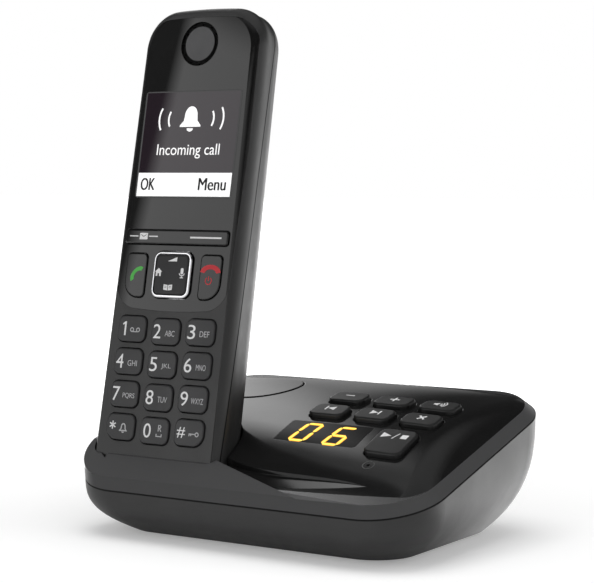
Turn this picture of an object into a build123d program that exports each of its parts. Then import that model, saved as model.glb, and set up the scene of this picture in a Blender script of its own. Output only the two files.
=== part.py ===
"""Answering machine: a cordless handset standing in the cradle of its base.

Frame: X to the right, Y to the back, Z up, millimetres. The origin is on the
floor, at the centre of the base's plan outline. The handset leans back in a
pocket at the left of the deck, and the answering machine's keys and its
two-digit display are at the right.
"""
from build123d import *
import os
from math import acos, atan, cos, degrees, radians, sin, sqrt, tan

os.makedirs("parts", exist_ok=True)

# ------------------------------------------------------------ base: housing
BASE_WIDTH = 122.5
BASE_DEPTH = 89.5
BASE_CORNER_R = 19.0
SEAM_FRONT_Z = 14.4          # height of the seam at the front edge
SEAM_TILT = 15.4             # degrees, the seam rises to the back
HULL_SIDE_INSET = 13.3       # how far the hull draws in from the seam to the floor
HULL_FRONT_INSET = 11.6
HULL_FLOOR_CORNER_R = 12.5
HULL_CURVE = 2.8             # power of the hull wall's curve
RIM_HEIGHT = 3.2             # bevelled band above the seam
RIM_INSET = 3.0
SHOULDER_DRAFT = 50.0        # degrees from upright, from the rim to the deck
SHOULDER_R = 12.0
DECK_RADIUS = 138.0          # front-to-back arc of the deck
DECK_APEX_Y = 36.0
DECK_APEX_Z = 41.6
DECK_CROWN_R = 1160.0        # side-to-side crown of the deck
BASE_WALL = 1.9
BASE_FLOOR = 1.8
SHELL_GAP = 0.15             # between one shell and what hangs inside the other
DECK_OVERRUN = 10.0          # how far the deck's arc runs on past the base

# ------------------------------------------------------------ base: collar around the handset's foot
COLLAR_SIDES = (             # height over the seam, inset at the side and in front, corner radius
    (0.0, 0.0, 0.0, 19.0),
    (RIM_HEIGHT, 0.3, RIM_INSET, 14.5),
    (6.5, 0.7, 3.8, 14.0),
    (8.8, 1.8, 5.0, 13.0),
    (11.0, 4.0, 7.0, 12.0),
)
FACET_RISE = 34.8            # degrees, the sloping front of the collar, up from the rim
HORN_Y = -30.0               # the collar's side starts here, at the top of the facet
HORN_RISE = 15.0             # degrees
HORN_BACK_Y = -18.0          # from here the side falls to the rim
HORN_BACK_FALL = 35.0
RIDGE_FROM = (-8.2, -34.2)   # plan of the ridge beside the pocket, down to the rim
RIDGE_TO = (19.3, -42.0)
RIDGE_FALL = 50.0            # degrees, behind the ridge
NOTCH = ((-56.8, -33.0), (-56.6, -34.8), (-50.6, -38.4), (-51.6, -34.0))
NOTCH_DEPTH = 3.6
VALLEY_FOLD = ((-14.0, -27.4), (-4.4, -31.0), (10.9, -32.8), (42.0, -34.2))
VALLEY_AT = (0.0, -30.0, 22.96)   # plane of the low ground before the fold
VALLEY_RISE = 22.3           # degrees to the back
VALLEY_TILT = 0.7            # degrees to the right

# ------------------------------------------------------------ base: feet, screws
FOOT_PROUD = 0.8
FOOT_SINK = 0.6
FOOT_R = 5.0
FOOT_SPAN_X = 62.0
FOOT_SPAN_Y = 38.0
FOOT_CENTRE_Y = -1.0
SCREW_SITES = ((-2.0, 26.5), (42.0, 21.5), (-42.5, 3.0), (25.0, -27.0))
SCREW_SHAFT_R = 1.4
SCREW_HEAD_R = 2.7
SCREW_HEAD_T = 2.0
SCREW_SINK = 1.2             # head below the floor's underside
SCREW_BITE = 5.0             # length of thread in the upper boss
BOSS_R = 3.2
BOSS_TOP_DROP = 4.0          # lower boss ends this far under the seam
PILOT_CLEARANCE = 0.05

# ------------------------------------------------------------ base: keys
DECK_KEY_WIDTH = 12.2
DECK_KEY_DEPTH = 8.0
DECK_KEY_CORNER_R = 2.6
DECK_KEY_PROUD = 1.5
DECK_KEY_PITCH_X = 15.7
DECK_KEY_PITCH_Y = 11.4
DECK_KEYS_AT = (BASE_WIDTH / 2 - 37.4, 4.6)  # centre of the block of six keys
PLAY_KEY_WIDTH = 12.5
PLAY_KEY_DEPTH = 13.8
PLAY_KEY_AT = (BASE_WIDTH / 2 - 23.35, -15.7)
PAGE_R = 13.1
PAGE_AT = (-30.5, 19.5)
PAGE_PROUD = 0.25
PAGE_GAP = 0.6               # groove around the paging button
DECK_KEY_TRAVEL = 0.8
KEY_CLEARANCE = 0.35         # around a key in its hole
KEY_FLANGE = 0.7             # how far a flange reaches past its key
KEY_FLANGE_T = 0.8
KEY_FLANGE_GAP = 0.3         # between a flange and the wall over it
KEY_EDGE_R = 0.7
MAT_T = 1.0
MAT_EDGE = 2.5               # how far the mat reaches past the keys
MAT_LOW_Z = 10.0             # the mat is cut from a block from here up
MAT_BLOCK_Z = 40.0
MAT_DROP = BASE_WALL + KEY_FLANGE_GAP + KEY_FLANGE_T + DECK_KEY_TRAVEL + 0.2

# ------------------------------------------------------------ base: display, board, sound
WINDOW_WIDTH = 28.2
WINDOW_DEPTH = 12.3
WINDOW_AT = (BASE_WIDTH / 2 - 47.85, -13.4)
WINDOW_CORNER_R = 0.8
WINDOW_T = 1.0
WINDOW_LEDGE = 1.0
LED_WIDTH = 20.0
LED_DEPTH = 10.2
BOARD_T = 1.6
BOARD_DROP = MAT_DROP + MAT_T + 1.7   # top of the board under the deck
BOARD_WIDTH = 50.0
BOARD_DEPTH = 37.0
BOARD_AT = (BASE_WIDTH / 2 - 39.75, -3.5)
POST_R = 2.2                 # posts that carry the board
POST_INSET = 3.5
MIC_AT = (BASE_WIDTH / 2 - 25.05, -25.8)
MIC_R = 2.0
MIC_T = 1.8
MIC_HOLE_R = 0.5
SPEAKER_R = 13.0
SPEAKER_AT = (10.0, -2.0)
SPEAKER_T = 5.6
SPEAKER_RING = 3.0
SLOT_WIDTH = 1.6
SLOT_PITCH = 3.6
SLOT_COUNT = 5
SLOT_LENGTH = 16.0

# ------------------------------------------------------------ base: sockets
SOCKET_X = (10.5, 27.0)      # line socket, power socket
SOCKET_Z = 11.0
SOCKET_SETBACK = 10.95       # sockets' back face from the back of the base
SOCKET_FACE_Y = BASE_DEPTH / 2 - SOCKET_SETBACK
SOCKET_BAY_Z = 14.0
SOCKET_BAY_MARGIN = 9.5
SOCKET_BAY_WALL = 1.5
SOCKET_WIDTH = 13.0
SOCKET_HEIGHT = 10.0
SOCKET_DEPTH = 14.0
SOCKET_MOUTH_W = 10.2
SOCKET_MOUTH_H = 7.0
SOCKET_MOUTH_DEEP = 11.5

# ------------------------------------------------------------ handset: form
HANDSET_LEAN = 11.3          # degrees
KEY5_AT = (-34.1, -28.9, 51.2)   # centre of the "5" key on the face
FOOT_V = -40.0               # ends of the handset along its face
HEAD_V = 111.0
HANDSET_FOOT_WIDTH = 47.4
HANDSET_HEAD_WIDTH = 43.6
HANDSET_T = 23.2
FOOT_CORNER_R = 11.0
HEAD_CORNER_R = 11.5
HEAD_CROWN = 1.2             # rise of the top edge's arc
FRONT_EDGE_R = 4.3
REAR_SIDE_R = 18.0
REAR_HEAD_R = 12.0
REAR_FOOT_R = 9.0
EDGE_TRIM = 0.35             # the flat face and back cut each edge's round here
HANDSET_WALL = 1.8
FACE_WALL = 2.8
SPLIT_DEPTH = 3.9            # handset seam behind the face, at the "5" key
SPLIT_TILT = 3.3             # degrees, the seam goes deeper to the head

# ------------------------------------------------------------ handset: face
KEY_PITCH_U = 12.85
KEY_PITCH_V = 10.02
KEY_SMILE = 0.37             # outer columns sit this much higher
KEY_WIDTH = 10.5
KEY_HEIGHT = 7.9
KEY_CORNER_R = 2.2
KEY_CUT_R = 3.7              # outer lower corner of the star and hash keys
KEY_PROUD = 0.7
KEY_TRAVEL = 0.4
FACE_KEY_CLEARANCE = 0.3
FACE_KEY_FLANGE = 0.5
FACE_KEY_FLANGE_T = 0.7
FACE_KEY_GAP = 0.25
PLATE_T = 1.6                # glossy faceplate
PLATE_FOOT_V = 16.9
PLATE_HEAD_V = 107.6
PLATE_FOOT_WIDTH = 41.6
PLATE_HEAD_WIDTH = 44.4
PLATE_FOOT_R = 8.0
PLATE_HEAD_R = 11.0
PLATE_FOOT_BOW = 0.7
SCREEN_WIDTH = 36.2
SCREEN_FOOT_V = 51.2
SCREEN_HEAD_V = 84.4
SCREEN_LEDGE = 1.2           # the shell carries the lens on this
MODULE_MARGIN = 0.9
EAR_V = 99.2
EAR_HOLE_R = 6.9
EAR_DISC_R = 5.5
EAR_SINK = 0.25
EAR_STEP = 0.5
EAR_PORT_R = 0.4             # sound holes in the groove around the disc
EAR_PORTS = 12
RECEIVER_R = 7.4
RECEIVER_T = 3.8
NAV_V = 27.4
NAV_WIDTH = 14.2
NAV_CORNER_R = 2.6
NAV_RING = 1.0
NAV_RING_GAP = 0.3
NAV_PROUD = 1.0
NAV_PAD_PROUD = 1.3
ROCKER_GAP = 0.45            # room under the face for the keys that rock
ROCKER_REST = 0.05           # between a rocker's rounded rib and what it rocks on
CALL_KEY_WIDTH = 7.6
CALL_KEY_HEIGHT = 13.4
CALL_KEY_U = 14.0
CALL_KEY_V = 27.0
CALL_KEY_CORNER_R = 1.4
CALL_KEY_CUT_R = 5.0
CALL_KEY_PROUD = 0.5
BAR_WIDTH = 38.4
BAR_HEIGHT = 4.3
BAR_V = 38.9
BAR_PROUD = 0.8
BAR_CORNER_R = 0.9

# ------------------------------------------------------------ handset: inside
PAD_T = 0.8                  # silicone keypad mat
PAD_GAP = 0.3                # between a pressed key and the mat
PCB_DEPTH = FACE_WALL + FACE_KEY_GAP + FACE_KEY_FLANGE_T + KEY_TRAVEL + PAD_GAP + PAD_T
PCB_T = 1.0
PCB_HEAD_V = 88.0
PCB_FOOT_V = -33.0
PCB_WIDTH = 36.0
TRAY_T = 1.0
TRAY_DEPTH = 8.3
TRAY_FOOT_V = -4.0
TRAY_HEAD_V = 58.0
CELL_R = 5.25
CELL_LENGTH = 44.5
CELL_FOOT_V = 3.6
CELL_GAP = 0.6
COVER_WIDTH = 34.0
COVER_FOOT_V = -2.0
COVER_HEAD_V = 56.0
COVER_CORNER_R = 5.0
COVER_GAP = 0.3
COVER_FROM = 14.0            # the cover's rim is this deep behind the face
RINGER_R = 7.0
RINGER_T = 3.4
RINGER_V = 74.0
RINGER_SLOT_WIDTH = 1.4
RINGER_SLOT_LENGTH = 12.0
RINGER_SLOT_PITCH = 3.0
RINGER_SLOTS = 4
GRIP_WIDTH = 1.0             # grooves across the battery cover, where the thumb pushes
GRIP_LENGTH = 14.0
GRIP_PITCH = 2.2
GRIP_COUNT = 5
GRIP_DEPTH = 0.35
GRIP_V = 46.0
MICROPHONE_R = 2.0
MICROPHONE_T = 1.6
MICROPHONE_V = -34.0

# ------------------------------------------------------------ cradle
POCKET_CLEARANCE = 0.4
POCKET_WALL = 1.0
CONTACT_SPACING = 17.0
CONTACT_WIDTH = 4.0
CONTACT_T = 0.5
CONTACT_DEPTH = 9.5          # place of the contacts behind the face
CONTACT_LENGTH = 6.0
CONTACT_GAP = 0.2
CONTACT_BLADE = 2.2
CONTACT_STEM = 3.4           # length of the base's contacts under the handset

# ------------------------------------------------------------ frames
lean = radians(HANDSET_LEAN)
face_plane = Plane(origin=KEY5_AT, x_dir=(1, 0, 0), z_dir=(0, -cos(lean), sin(lean)))
along = Vector(0, sin(lean), cos(lean))
outward = Vector(0, -cos(lean), sin(lean))


def seam_height(y):
    """Height of the base's seam over the floor at y."""
    return SEAM_FRONT_Z + (y + BASE_DEPTH / 2) * tan(radians(SEAM_TILT))


def hull_plane(fraction):
    """Plane of the hull section at a fraction of the way from the floor to the seam."""
    height = FOOT_PROUD + fraction * (seam_height(0) - FOOT_PROUD)
    return Plane(origin=(0, 0, height), x_dir=(1, 0, 0), z_dir=(0, -fraction * tan(radians(SEAM_TILT)), 1))


def deck_height(x, y):
    """Height of the deck over the floor at x, y."""
    arc = DECK_APEX_Z - DECK_RADIUS + sqrt(DECK_RADIUS**2 - (y - DECK_APEX_Y) ** 2)
    return arc - DECK_CROWN_R + sqrt(DECK_CROWN_R**2 - x**2)


def deck_plane(x, y):
    """Plane that touches the deck at x, y, with its normal up and out."""
    slope_y = (DECK_APEX_Y - y) / sqrt(DECK_RADIUS**2 - (y - DECK_APEX_Y) ** 2)
    slope_x = -x / sqrt(DECK_CROWN_R**2 - x**2)
    return Plane(origin=(x, y, deck_height(x, y)), x_dir=(1, 0, slope_x), z_dir=(-slope_x, -slope_y, 1))


# ------------------------------------------------------------ base forms
def hull_form(inset):
    """The bowl under the seam, drawn in by inset all round, its foot not raised."""
    sections = []
    for fraction in (0, 0.15, 0.35, 0.6, 0.8, 1):
        fall = (1 - fraction) ** HULL_CURVE
        side = HULL_SIDE_INSET * fall + inset
        front = HULL_FRONT_INSET * fall + inset
        corner = BASE_CORNER_R + (HULL_FLOOR_CORNER_R - BASE_CORNER_R) * fall - inset
        stretch = sqrt(1 + (fraction * tan(radians(SEAM_TILT))) ** 2)
        with BuildSketch(hull_plane(fraction)) as section:
            with Locations((0, (front - side) / 2 * stretch)):
                RectangleRounded(BASE_WIDTH - 2 * side, (BASE_DEPTH - front - side) * stretch, corner)
        sections.append(section.sketch)
    with BuildPart() as form:
        loft(sections=sections)
    return form.part


def seam_outline(lift, inset):
    """The base's outline on a plane parallel to the seam, lift above it."""
    with BuildSketch(hull_plane(1).offset(lift)) as outline:
        stretch = 1 / cos(radians(SEAM_TILT))
        RectangleRounded(BASE_WIDTH - 2 * inset, BASE_DEPTH * stretch - 2 * inset, BASE_CORNER_R - inset)
    return outline.sketch


def deck_form(drop):
    """All the space under the deck lowered by drop: an arc swung about a far axis along Y."""
    swing = radians(5)
    axis_z = DECK_APEX_Z - DECK_CROWN_R
    radius = DECK_RADIUS - drop
    reach = BASE_DEPTH / 2 + DECK_OVERRUN
    swing_plane = Plane(origin=(0, 0, axis_z), x_dir=(0, 1, 0), z_dir=(cos(swing), 0, sin(swing)))
    back = degrees(acos((reach - DECK_APEX_Y) / radius))
    front = degrees(acos((-reach - DECK_APEX_Y) / radius))
    with BuildPart() as form:
        with BuildSketch(swing_plane):
            with BuildLine():
                arc = CenterArc((DECK_APEX_Y, DECK_CROWN_R - DECK_RADIUS), radius, back, front - back)
                Polyline(arc @ 1, (-reach, DECK_CROWN_R - 80), (reach, DECK_CROWN_R - 80), arc @ 0)
            make_face()
        revolve(axis=Axis((0, 0, axis_z), (0, 1, 0)), revolution_arc=2 * degrees(swing))
    return form.part


def shoulder_form(inset, low, high):
    """Tapered block over the rim, from low to high measured from the rim's upper edge."""
    spread = tan(radians(SHOULDER_DRAFT))
    with BuildPart() as form:
        loft(
            sections=[
                seam_outline(RIM_HEIGHT + low, RIM_INSET + inset + low * spread),
                seam_outline(RIM_HEIGHT + high, RIM_INSET + inset + high * spread),
            ],
            ruled=True,
        )
    return form.part


SHOULDER_LOW = -5.0
SHOULDER_HIGH = 11.0
deck_space = deck_form(0)
with BuildPart() as cap_form:
    add(shoulder_form(0, SHOULDER_LOW, SHOULDER_HIGH))
    add(deck_space, mode=Mode.INTERSECT)
    fillet(cap_form.faces().filter_by(GeomType.TORUS)[0].edges(), SHOULDER_R)
    split(bisect_by=hull_plane(1).offset(RIM_HEIGHT), keep=Keep.TOP)
    loft(sections=[seam_outline(0, 0), seam_outline(RIM_HEIGHT, RIM_INSET)], ruled=True)



def valley_form(drop, grow):
    """All that is cut from the deck before its fold, the low ground lowered by drop."""
    rise, tilt = tan(radians(VALLEY_RISE)), tan(radians(VALLEY_TILT))
    ground = Plane(origin=VALLEY_AT, x_dir=(1, 0, tilt), z_dir=(-tilt, -rise, 1)).offset(-drop)
    with BuildPart() as form:
        with BuildSketch(Plane.XY):
            with BuildLine():
                fold = Spline([(x, y + grow) for x, y in VALLEY_FOLD])
                right, left = (fold @ 1).Y, (fold @ 0).Y
                Polyline(
                    fold @ 1, (BASE_WIDTH, right), (BASE_WIDTH, -BASE_DEPTH),
                    (-BASE_WIDTH, -BASE_DEPTH), (-BASE_WIDTH, left), fold @ 0,
                )
            make_face()
        extrude(amount=DECK_APEX_Z)
        split(bisect_by=ground, keep=Keep.TOP)
    return form.part


def collar_section(height, side, front, corner):
    """The collar's outline at a height over the seam."""
    with BuildSketch(hull_plane(1).offset(height)) as section:
        stretch = 1 / cos(radians(SEAM_TILT))
        RectangleRounded(BASE_WIDTH - 2 * side, BASE_DEPTH * stretch - 2 * front, corner)
    return section.sketch


rim_edge = hull_plane(1).offset(RIM_HEIGHT).from_local_coords(
    Vector(0, RIM_INSET - BASE_DEPTH / cos(radians(SEAM_TILT)) / 2, 0)
)
facet_rise = tan(radians(FACET_RISE))
facet_plane = Plane(origin=rim_edge, x_dir=(1, 0, 0), z_dir=(0, -facet_rise, 1))


def facet_point(x, y):
    """Point of the collar's sloping front at x, y."""
    return Vector(x, y, rim_edge.Z + (y - rim_edge.Y) * facet_rise)


horn_top = facet_point(0, HORN_Y)
horn_plane = Plane(origin=horn_top, x_dir=(1, 0, 0), z_dir=(0, -tan(radians(HORN_RISE)), 1))
horn_back = horn_top + Vector(0, 1, tan(radians(HORN_RISE))) * (HORN_BACK_Y - HORN_Y)
horn_back_plane = Plane(origin=horn_back, x_dir=(1, 0, 0), z_dir=(0, tan(radians(HORN_BACK_FALL)), 1))
ridge = facet_point(*RIDGE_TO) - facet_point(*RIDGE_FROM)
ridge_side = Vector(-ridge.Y, ridge.X, 0).normalized()
ridge_fall = ridge_side * cos(radians(RIDGE_FALL)) - Vector(0, 0, sin(radians(RIDGE_FALL)))
ridge_plane = Plane(origin=facet_point(*RIDGE_FROM), x_dir=ridge, z_dir=ridge.cross(ridge_fall))


def collar_form(side, planes):
    """One half of the collar, left or right of the handset's middle, under the planes given."""
    with BuildPart() as form:
        loft(sections=[collar_section(*row) for row in COLLAR_SIDES[:2]], ruled=True)
        loft(sections=[collar_section(*row) for row in COLLAR_SIDES[1:]])
        for plane in planes:
            split(bisect_by=plane, keep=Keep.BOTTOM)
        split(bisect_by=Plane.YZ.offset(KEY5_AT[0]), keep=Keep.TOP if side > 0 else Keep.BOTTOM)
    return form.part


with BuildPart() as cap_body:
    add(cap_form.part)
    add(valley_form(0, 0), mode=Mode.SUBTRACT)
    add(collar_form(-1, (facet_plane, horn_plane, horn_back_plane)))
    add(collar_form(1, (facet_plane, ridge_plane)))
    with BuildSketch(facet_plane.offset(-NOTCH_DEPTH)):
        with BuildLine():
            Polyline([facet_plane.to_local_coords(facet_point(x, y)) for x, y in NOTCH], close=True)
        make_face()
    extrude(amount=4 * NOTCH_DEPTH, dir=(0, 0, 1), mode=Mode.SUBTRACT)

with BuildPart() as cap_room:
    add(shoulder_form(BASE_WALL, -RIM_HEIGHT, SHOULDER_HIGH))
    add(deck_form(BASE_WALL), mode=Mode.INTERSECT)
    add(valley_form(BASE_WALL, BASE_WALL), mode=Mode.SUBTRACT)


# ------------------------------------------------------------ handset forms
def edge_inset(depth, wall, rear_r):
    """How far the wall's inner face stands in from the widest outline, at a depth behind the face."""
    front_gap = FRONT_EDGE_R - EDGE_TRIM - depth
    rear_gap = depth - (HANDSET_T + EDGE_TRIM - rear_r)
    front_round = FRONT_EDGE_R - wall
    rear_round = rear_r - wall
    front = front_round - sqrt(front_round**2 - max(front_gap, 0) ** 2)
    rear = rear_round - sqrt(rear_round**2 - max(rear_gap, 0) ** 2)
    return wall + max(front, rear)


def handset_section(depth, wall):
    """The handset's outline at a depth behind the face, drawn in by wall."""
    side = edge_inset(depth, wall, REAR_SIDE_R)
    head = HEAD_V - edge_inset(depth, wall, REAR_HEAD_R)
    foot = FOOT_V + edge_inset(depth, wall, REAR_FOOT_R)
    head_half = HANDSET_HEAD_WIDTH / 2 - side
    foot_half = HANDSET_FOOT_WIDTH / 2 - side
    with BuildSketch(face_plane.offset(-depth)) as section:
        with BuildLine():
            base_line = Line((-foot_half, foot), (foot_half, foot))
            right = Line(base_line @ 1, (head_half, head - HEAD_CROWN))
            crown = ThreePointArc(right @ 1, (0, head), (-head_half, head - HEAD_CROWN))
            Line(crown @ 1, base_line @ 0)
        make_face()
        fillet(section.vertices().group_by(Axis.Y)[0], min(FOOT_CORNER_R, foot_half * 0.9))
        fillet(section.vertices().group_by(Axis.Y)[-1], min(HEAD_CORNER_R, head_half * 0.9))
    return section.sketch


def handset_form(wall, near):
    """The handset's rounded body, drawn in by its wall, from a depth near to the back wall."""
    front_centre = FRONT_EDGE_R - EDGE_TRIM
    rear_centre = HANDSET_T + EDGE_TRIM - REAR_SIDE_R
    far = HANDSET_T - wall
    front = [front_centre - (FRONT_EDGE_R - wall) * sin(radians(angle)) for angle in (54, 36, 18)]
    rear = [rear_centre + (REAR_SIDE_R - wall) * sin(radians(angle)) for angle in (0, 15, 30, 45, 60, 72)]
    depths = [near] + [d for d in front if d > near + 0.3] + [d for d in rear if near + 1 < d < far - 0.3] + [far]
    with BuildPart() as form:
        loft(sections=[handset_section(depth, wall) for depth in depths])
    return form.part


handset_body = handset_form(0, 0)
handset_room = handset_form(HANDSET_WALL, FACE_WALL)
handset_split = Plane(
    origin=face_plane.origin - outward * SPLIT_DEPTH,
    x_dir=(1, 0, 0),
    z_dir=outward * cos(radians(SPLIT_TILT)) + along * sin(radians(SPLIT_TILT)),
)


def front_share():
    """All that belongs to the front shell: what lies before the seam, and the whole wall of the face."""
    with BuildPart() as share:
        add(handset_body)
        split(bisect_by=handset_split, keep=Keep.TOP)
        add(handset_section(FACE_WALL, HANDSET_WALL).moved(Location(outward * FACE_WALL)))
        extrude(amount=-FACE_WALL, dir=outward)
    return share.part


def face_slab(foot, head, near, far, width=2 * HANDSET_FOOT_WIDTH):
    """Plain slab across the handset between two places along it and two depths."""
    with BuildPart() as slab:
        with BuildSketch(face_plane.offset(-far)):
            with Locations((0, (foot + head) / 2)):
                Rectangle(width, head - foot)
        extrude(amount=far - near)
    return slab.part


def pocket_form(extra):
    """The handset's foot as the cradle sees it: its widest section, straight up along the lean."""
    half = HANDSET_FOOT_WIDTH / 2 + extra
    reach = 60.0
    end_plane = Plane(origin=face_plane.origin, x_dir=(1, 0, 0), z_dir=along)
    with BuildPart() as form:
        with BuildSketch(end_plane.offset(FOOT_V - extra)) as section:
            with Locations((0, HANDSET_T / 2)):
                Rectangle(2 * half, HANDSET_T + 2 * extra)
            fillet(section.vertices().group_by(Axis.Y)[0], FRONT_EDGE_R)
            fillet(section.vertices().group_by(Axis.Y)[-1], REAR_SIDE_R)
        extrude(amount=reach)
        with BuildSketch(face_plane.offset(extra + 1)) as front:
            with Locations((0, FOOT_V - extra + reach / 2)):
                Rectangle(2 * half, reach)
            fillet(front.vertices().group_by(Axis.Y)[0], FOOT_CORNER_R)
        extrude(amount=-(HANDSET_T + 2 * extra + 2), mode=Mode.INTERSECT)
    return form.part


contact_plane = Plane(origin=face_plane.origin + along * FOOT_V, x_dir=(1, 0, 0), z_dir=along)


# ------------------------------------------------------------ key forms
def deck_key_sites():
    """Name and place on the deck of each of the six small keys."""
    names = (("skip_back_key", "skip_forward_key", "delete_key"), ("volume_down_key", "volume_up_key", "speaker_key"))
    centre_x, centre_y = DECK_KEYS_AT
    for row, row_names in enumerate(names):
        for column, key_name in enumerate(row_names):
            yield key_name, (
                centre_x + (column - 1) * DECK_KEY_PITCH_X,
                centre_y + (row - 0.5) * DECK_KEY_PITCH_Y,
            )


def deck_key_hole(site, width, depth, corner, grow):
    """Upright prism through the deck at a key, grown all round."""
    with BuildPart() as hole:
        with BuildSketch(deck_plane(*site).offset(4)):
            RectangleRounded(width + 2 * grow, depth + 2 * grow, corner + grow)
        extrude(amount=-12)
    return hole.part


def deck_key(site, width, depth, corner):
    """A key cap with its flange under the deck and a plunger over the mat."""
    plane = deck_plane(*site)
    flange_top = BASE_WALL + KEY_FLANGE_GAP
    with BuildPart() as key:
        with BuildSketch(plane.offset(-flange_top - KEY_FLANGE_T)):
            RectangleRounded(width + 2 * KEY_FLANGE, depth + 2 * KEY_FLANGE, corner + KEY_FLANGE)
        extrude(amount=KEY_FLANGE_T)
        with BuildSketch(plane.offset(-flange_top - KEY_FLANGE_T)):
            RectangleRounded(width, depth, corner)
        extrude(amount=flange_top + KEY_FLANGE_T + DECK_KEY_PROUD)
        cap_face = key.faces().sort_by(Axis(plane.origin, plane.z_dir))[-1]
        fillet(cap_face.edges(), KEY_EDGE_R)
    return key.part


board_plane = deck_plane(*BOARD_AT).offset(-BOARD_DROP - BOARD_T)

# ------------------------------------------------------------ base: upper shell
pocket_cup = pocket_form(POCKET_CLEARANCE + POCKET_WALL)
pocket_space = pocket_form(POCKET_CLEARANCE)
cup_room = hull_form(BASE_WALL + SHELL_GAP)

with BuildPart() as cradle_cup:
    add(cap_body.part)
    add(cup_room)
    add(pocket_cup, mode=Mode.INTERSECT)

with BuildPart() as screw_bosses:
    for site_x, site_y in SCREW_SITES:
        with BuildSketch(Plane.XY.offset(seam_height(site_y) - BOSS_TOP_DROP)):
            with Locations((site_x, site_y)):
                Circle(BOSS_R)
        extrude(amount=DECK_APEX_Z)
    add(deck_form(BASE_WALL / 2), mode=Mode.INTERSECT)

with BuildPart() as upper_shell:
    add(cap_body.part)
    add(cap_room.part, mode=Mode.SUBTRACT)
    split(bisect_by=hull_plane(1), keep=Keep.TOP)
    add(screw_bosses.part)
    for site_x, site_y in SCREW_SITES:
        boss_foot = seam_height(site_y) - BOSS_TOP_DROP
        with BuildSketch(Plane.XY.offset(boss_foot)):
            with Locations((site_x, site_y)):
                Circle(SCREW_SHAFT_R + PILOT_CLEARANCE)
        extrude(amount=SCREW_BITE + 1, mode=Mode.SUBTRACT)
    add(cradle_cup.part)
    add(pocket_space, mode=Mode.SUBTRACT)
    for key_name, site in deck_key_sites():
        add(
            deck_key_hole(site, DECK_KEY_WIDTH, DECK_KEY_DEPTH, DECK_KEY_CORNER_R, KEY_CLEARANCE),
            mode=Mode.SUBTRACT,
        )
    add(
        deck_key_hole(PLAY_KEY_AT, PLAY_KEY_WIDTH, PLAY_KEY_DEPTH, DECK_KEY_CORNER_R, KEY_CLEARANCE),
        mode=Mode.SUBTRACT,
    )
    with BuildSketch(deck_plane(*PAGE_AT).offset(4)):
        Circle(PAGE_R + PAGE_GAP)
    extrude(amount=-10, mode=Mode.SUBTRACT)
    with BuildSketch(deck_plane(*WINDOW_AT).offset(-WINDOW_T)):
        RectangleRounded(WINDOW_WIDTH, WINDOW_DEPTH, WINDOW_CORNER_R)
    extrude(amount=6, mode=Mode.SUBTRACT)
    with BuildSketch(deck_plane(*WINDOW_AT).offset(-WINDOW_T)):
        Rectangle(WINDOW_WIDTH - 2 * WINDOW_LEDGE, WINDOW_DEPTH - 2 * WINDOW_LEDGE)
    extrude(amount=-4, mode=Mode.SUBTRACT)
    with BuildSketch(deck_plane(*MIC_AT).offset(2)):
        Circle(MIC_HOLE_R)
    extrude(amount=-6, mode=Mode.SUBTRACT)
    with BuildSketch(contact_plane.offset(1)):
        with Locations([(side * CONTACT_SPACING / 2, CONTACT_DEPTH) for side in (-1, 1)]):
            Rectangle(CONTACT_BLADE, CONTACT_LENGTH)
    extrude(amount=-CONTACT_STEM - 1, mode=Mode.SUBTRACT)
upper_shell.part.label = "upper_shell"
export_step(upper_shell.part, "parts/upper_shell.step")

# ------------------------------------------------------------ base: lower shell
bay_left = SOCKET_X[0] - SOCKET_BAY_MARGIN
bay_right = SOCKET_X[1] + SOCKET_BAY_MARGIN
with BuildPart() as socket_bay:
    with BuildSketch(Plane.XY.offset(SOCKET_Z - SOCKET_BAY_Z / 2 - SOCKET_BAY_WALL)):
        with Locations(((bay_left + bay_right) / 2, BASE_DEPTH / 2)):
            Rectangle(
                bay_right - bay_left + 2 * SOCKET_BAY_WALL,
                2 * (BASE_DEPTH / 2 - SOCKET_FACE_Y + SOCKET_BAY_WALL),
            )
    extrude(amount=SOCKET_BAY_Z + 2 * SOCKET_BAY_WALL)
    add(hull_form(0), mode=Mode.INTERSECT)

with BuildPart() as board_posts:
    with BuildSketch(Plane.XY.offset(FOOT_PROUD)):
        with Locations(BOARD_AT):
            with GridLocations(BOARD_WIDTH - 2 * POST_INSET, (BOARD_DEPTH - 2 * POST_INSET) * board_plane.z_dir.Z, 2, 2):
                Circle(POST_R)
    extrude(amount=DECK_APEX_Z)
    split(bisect_by=board_plane, keep=Keep.BOTTOM)
    add(cup_room, mode=Mode.INTERSECT)

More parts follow.
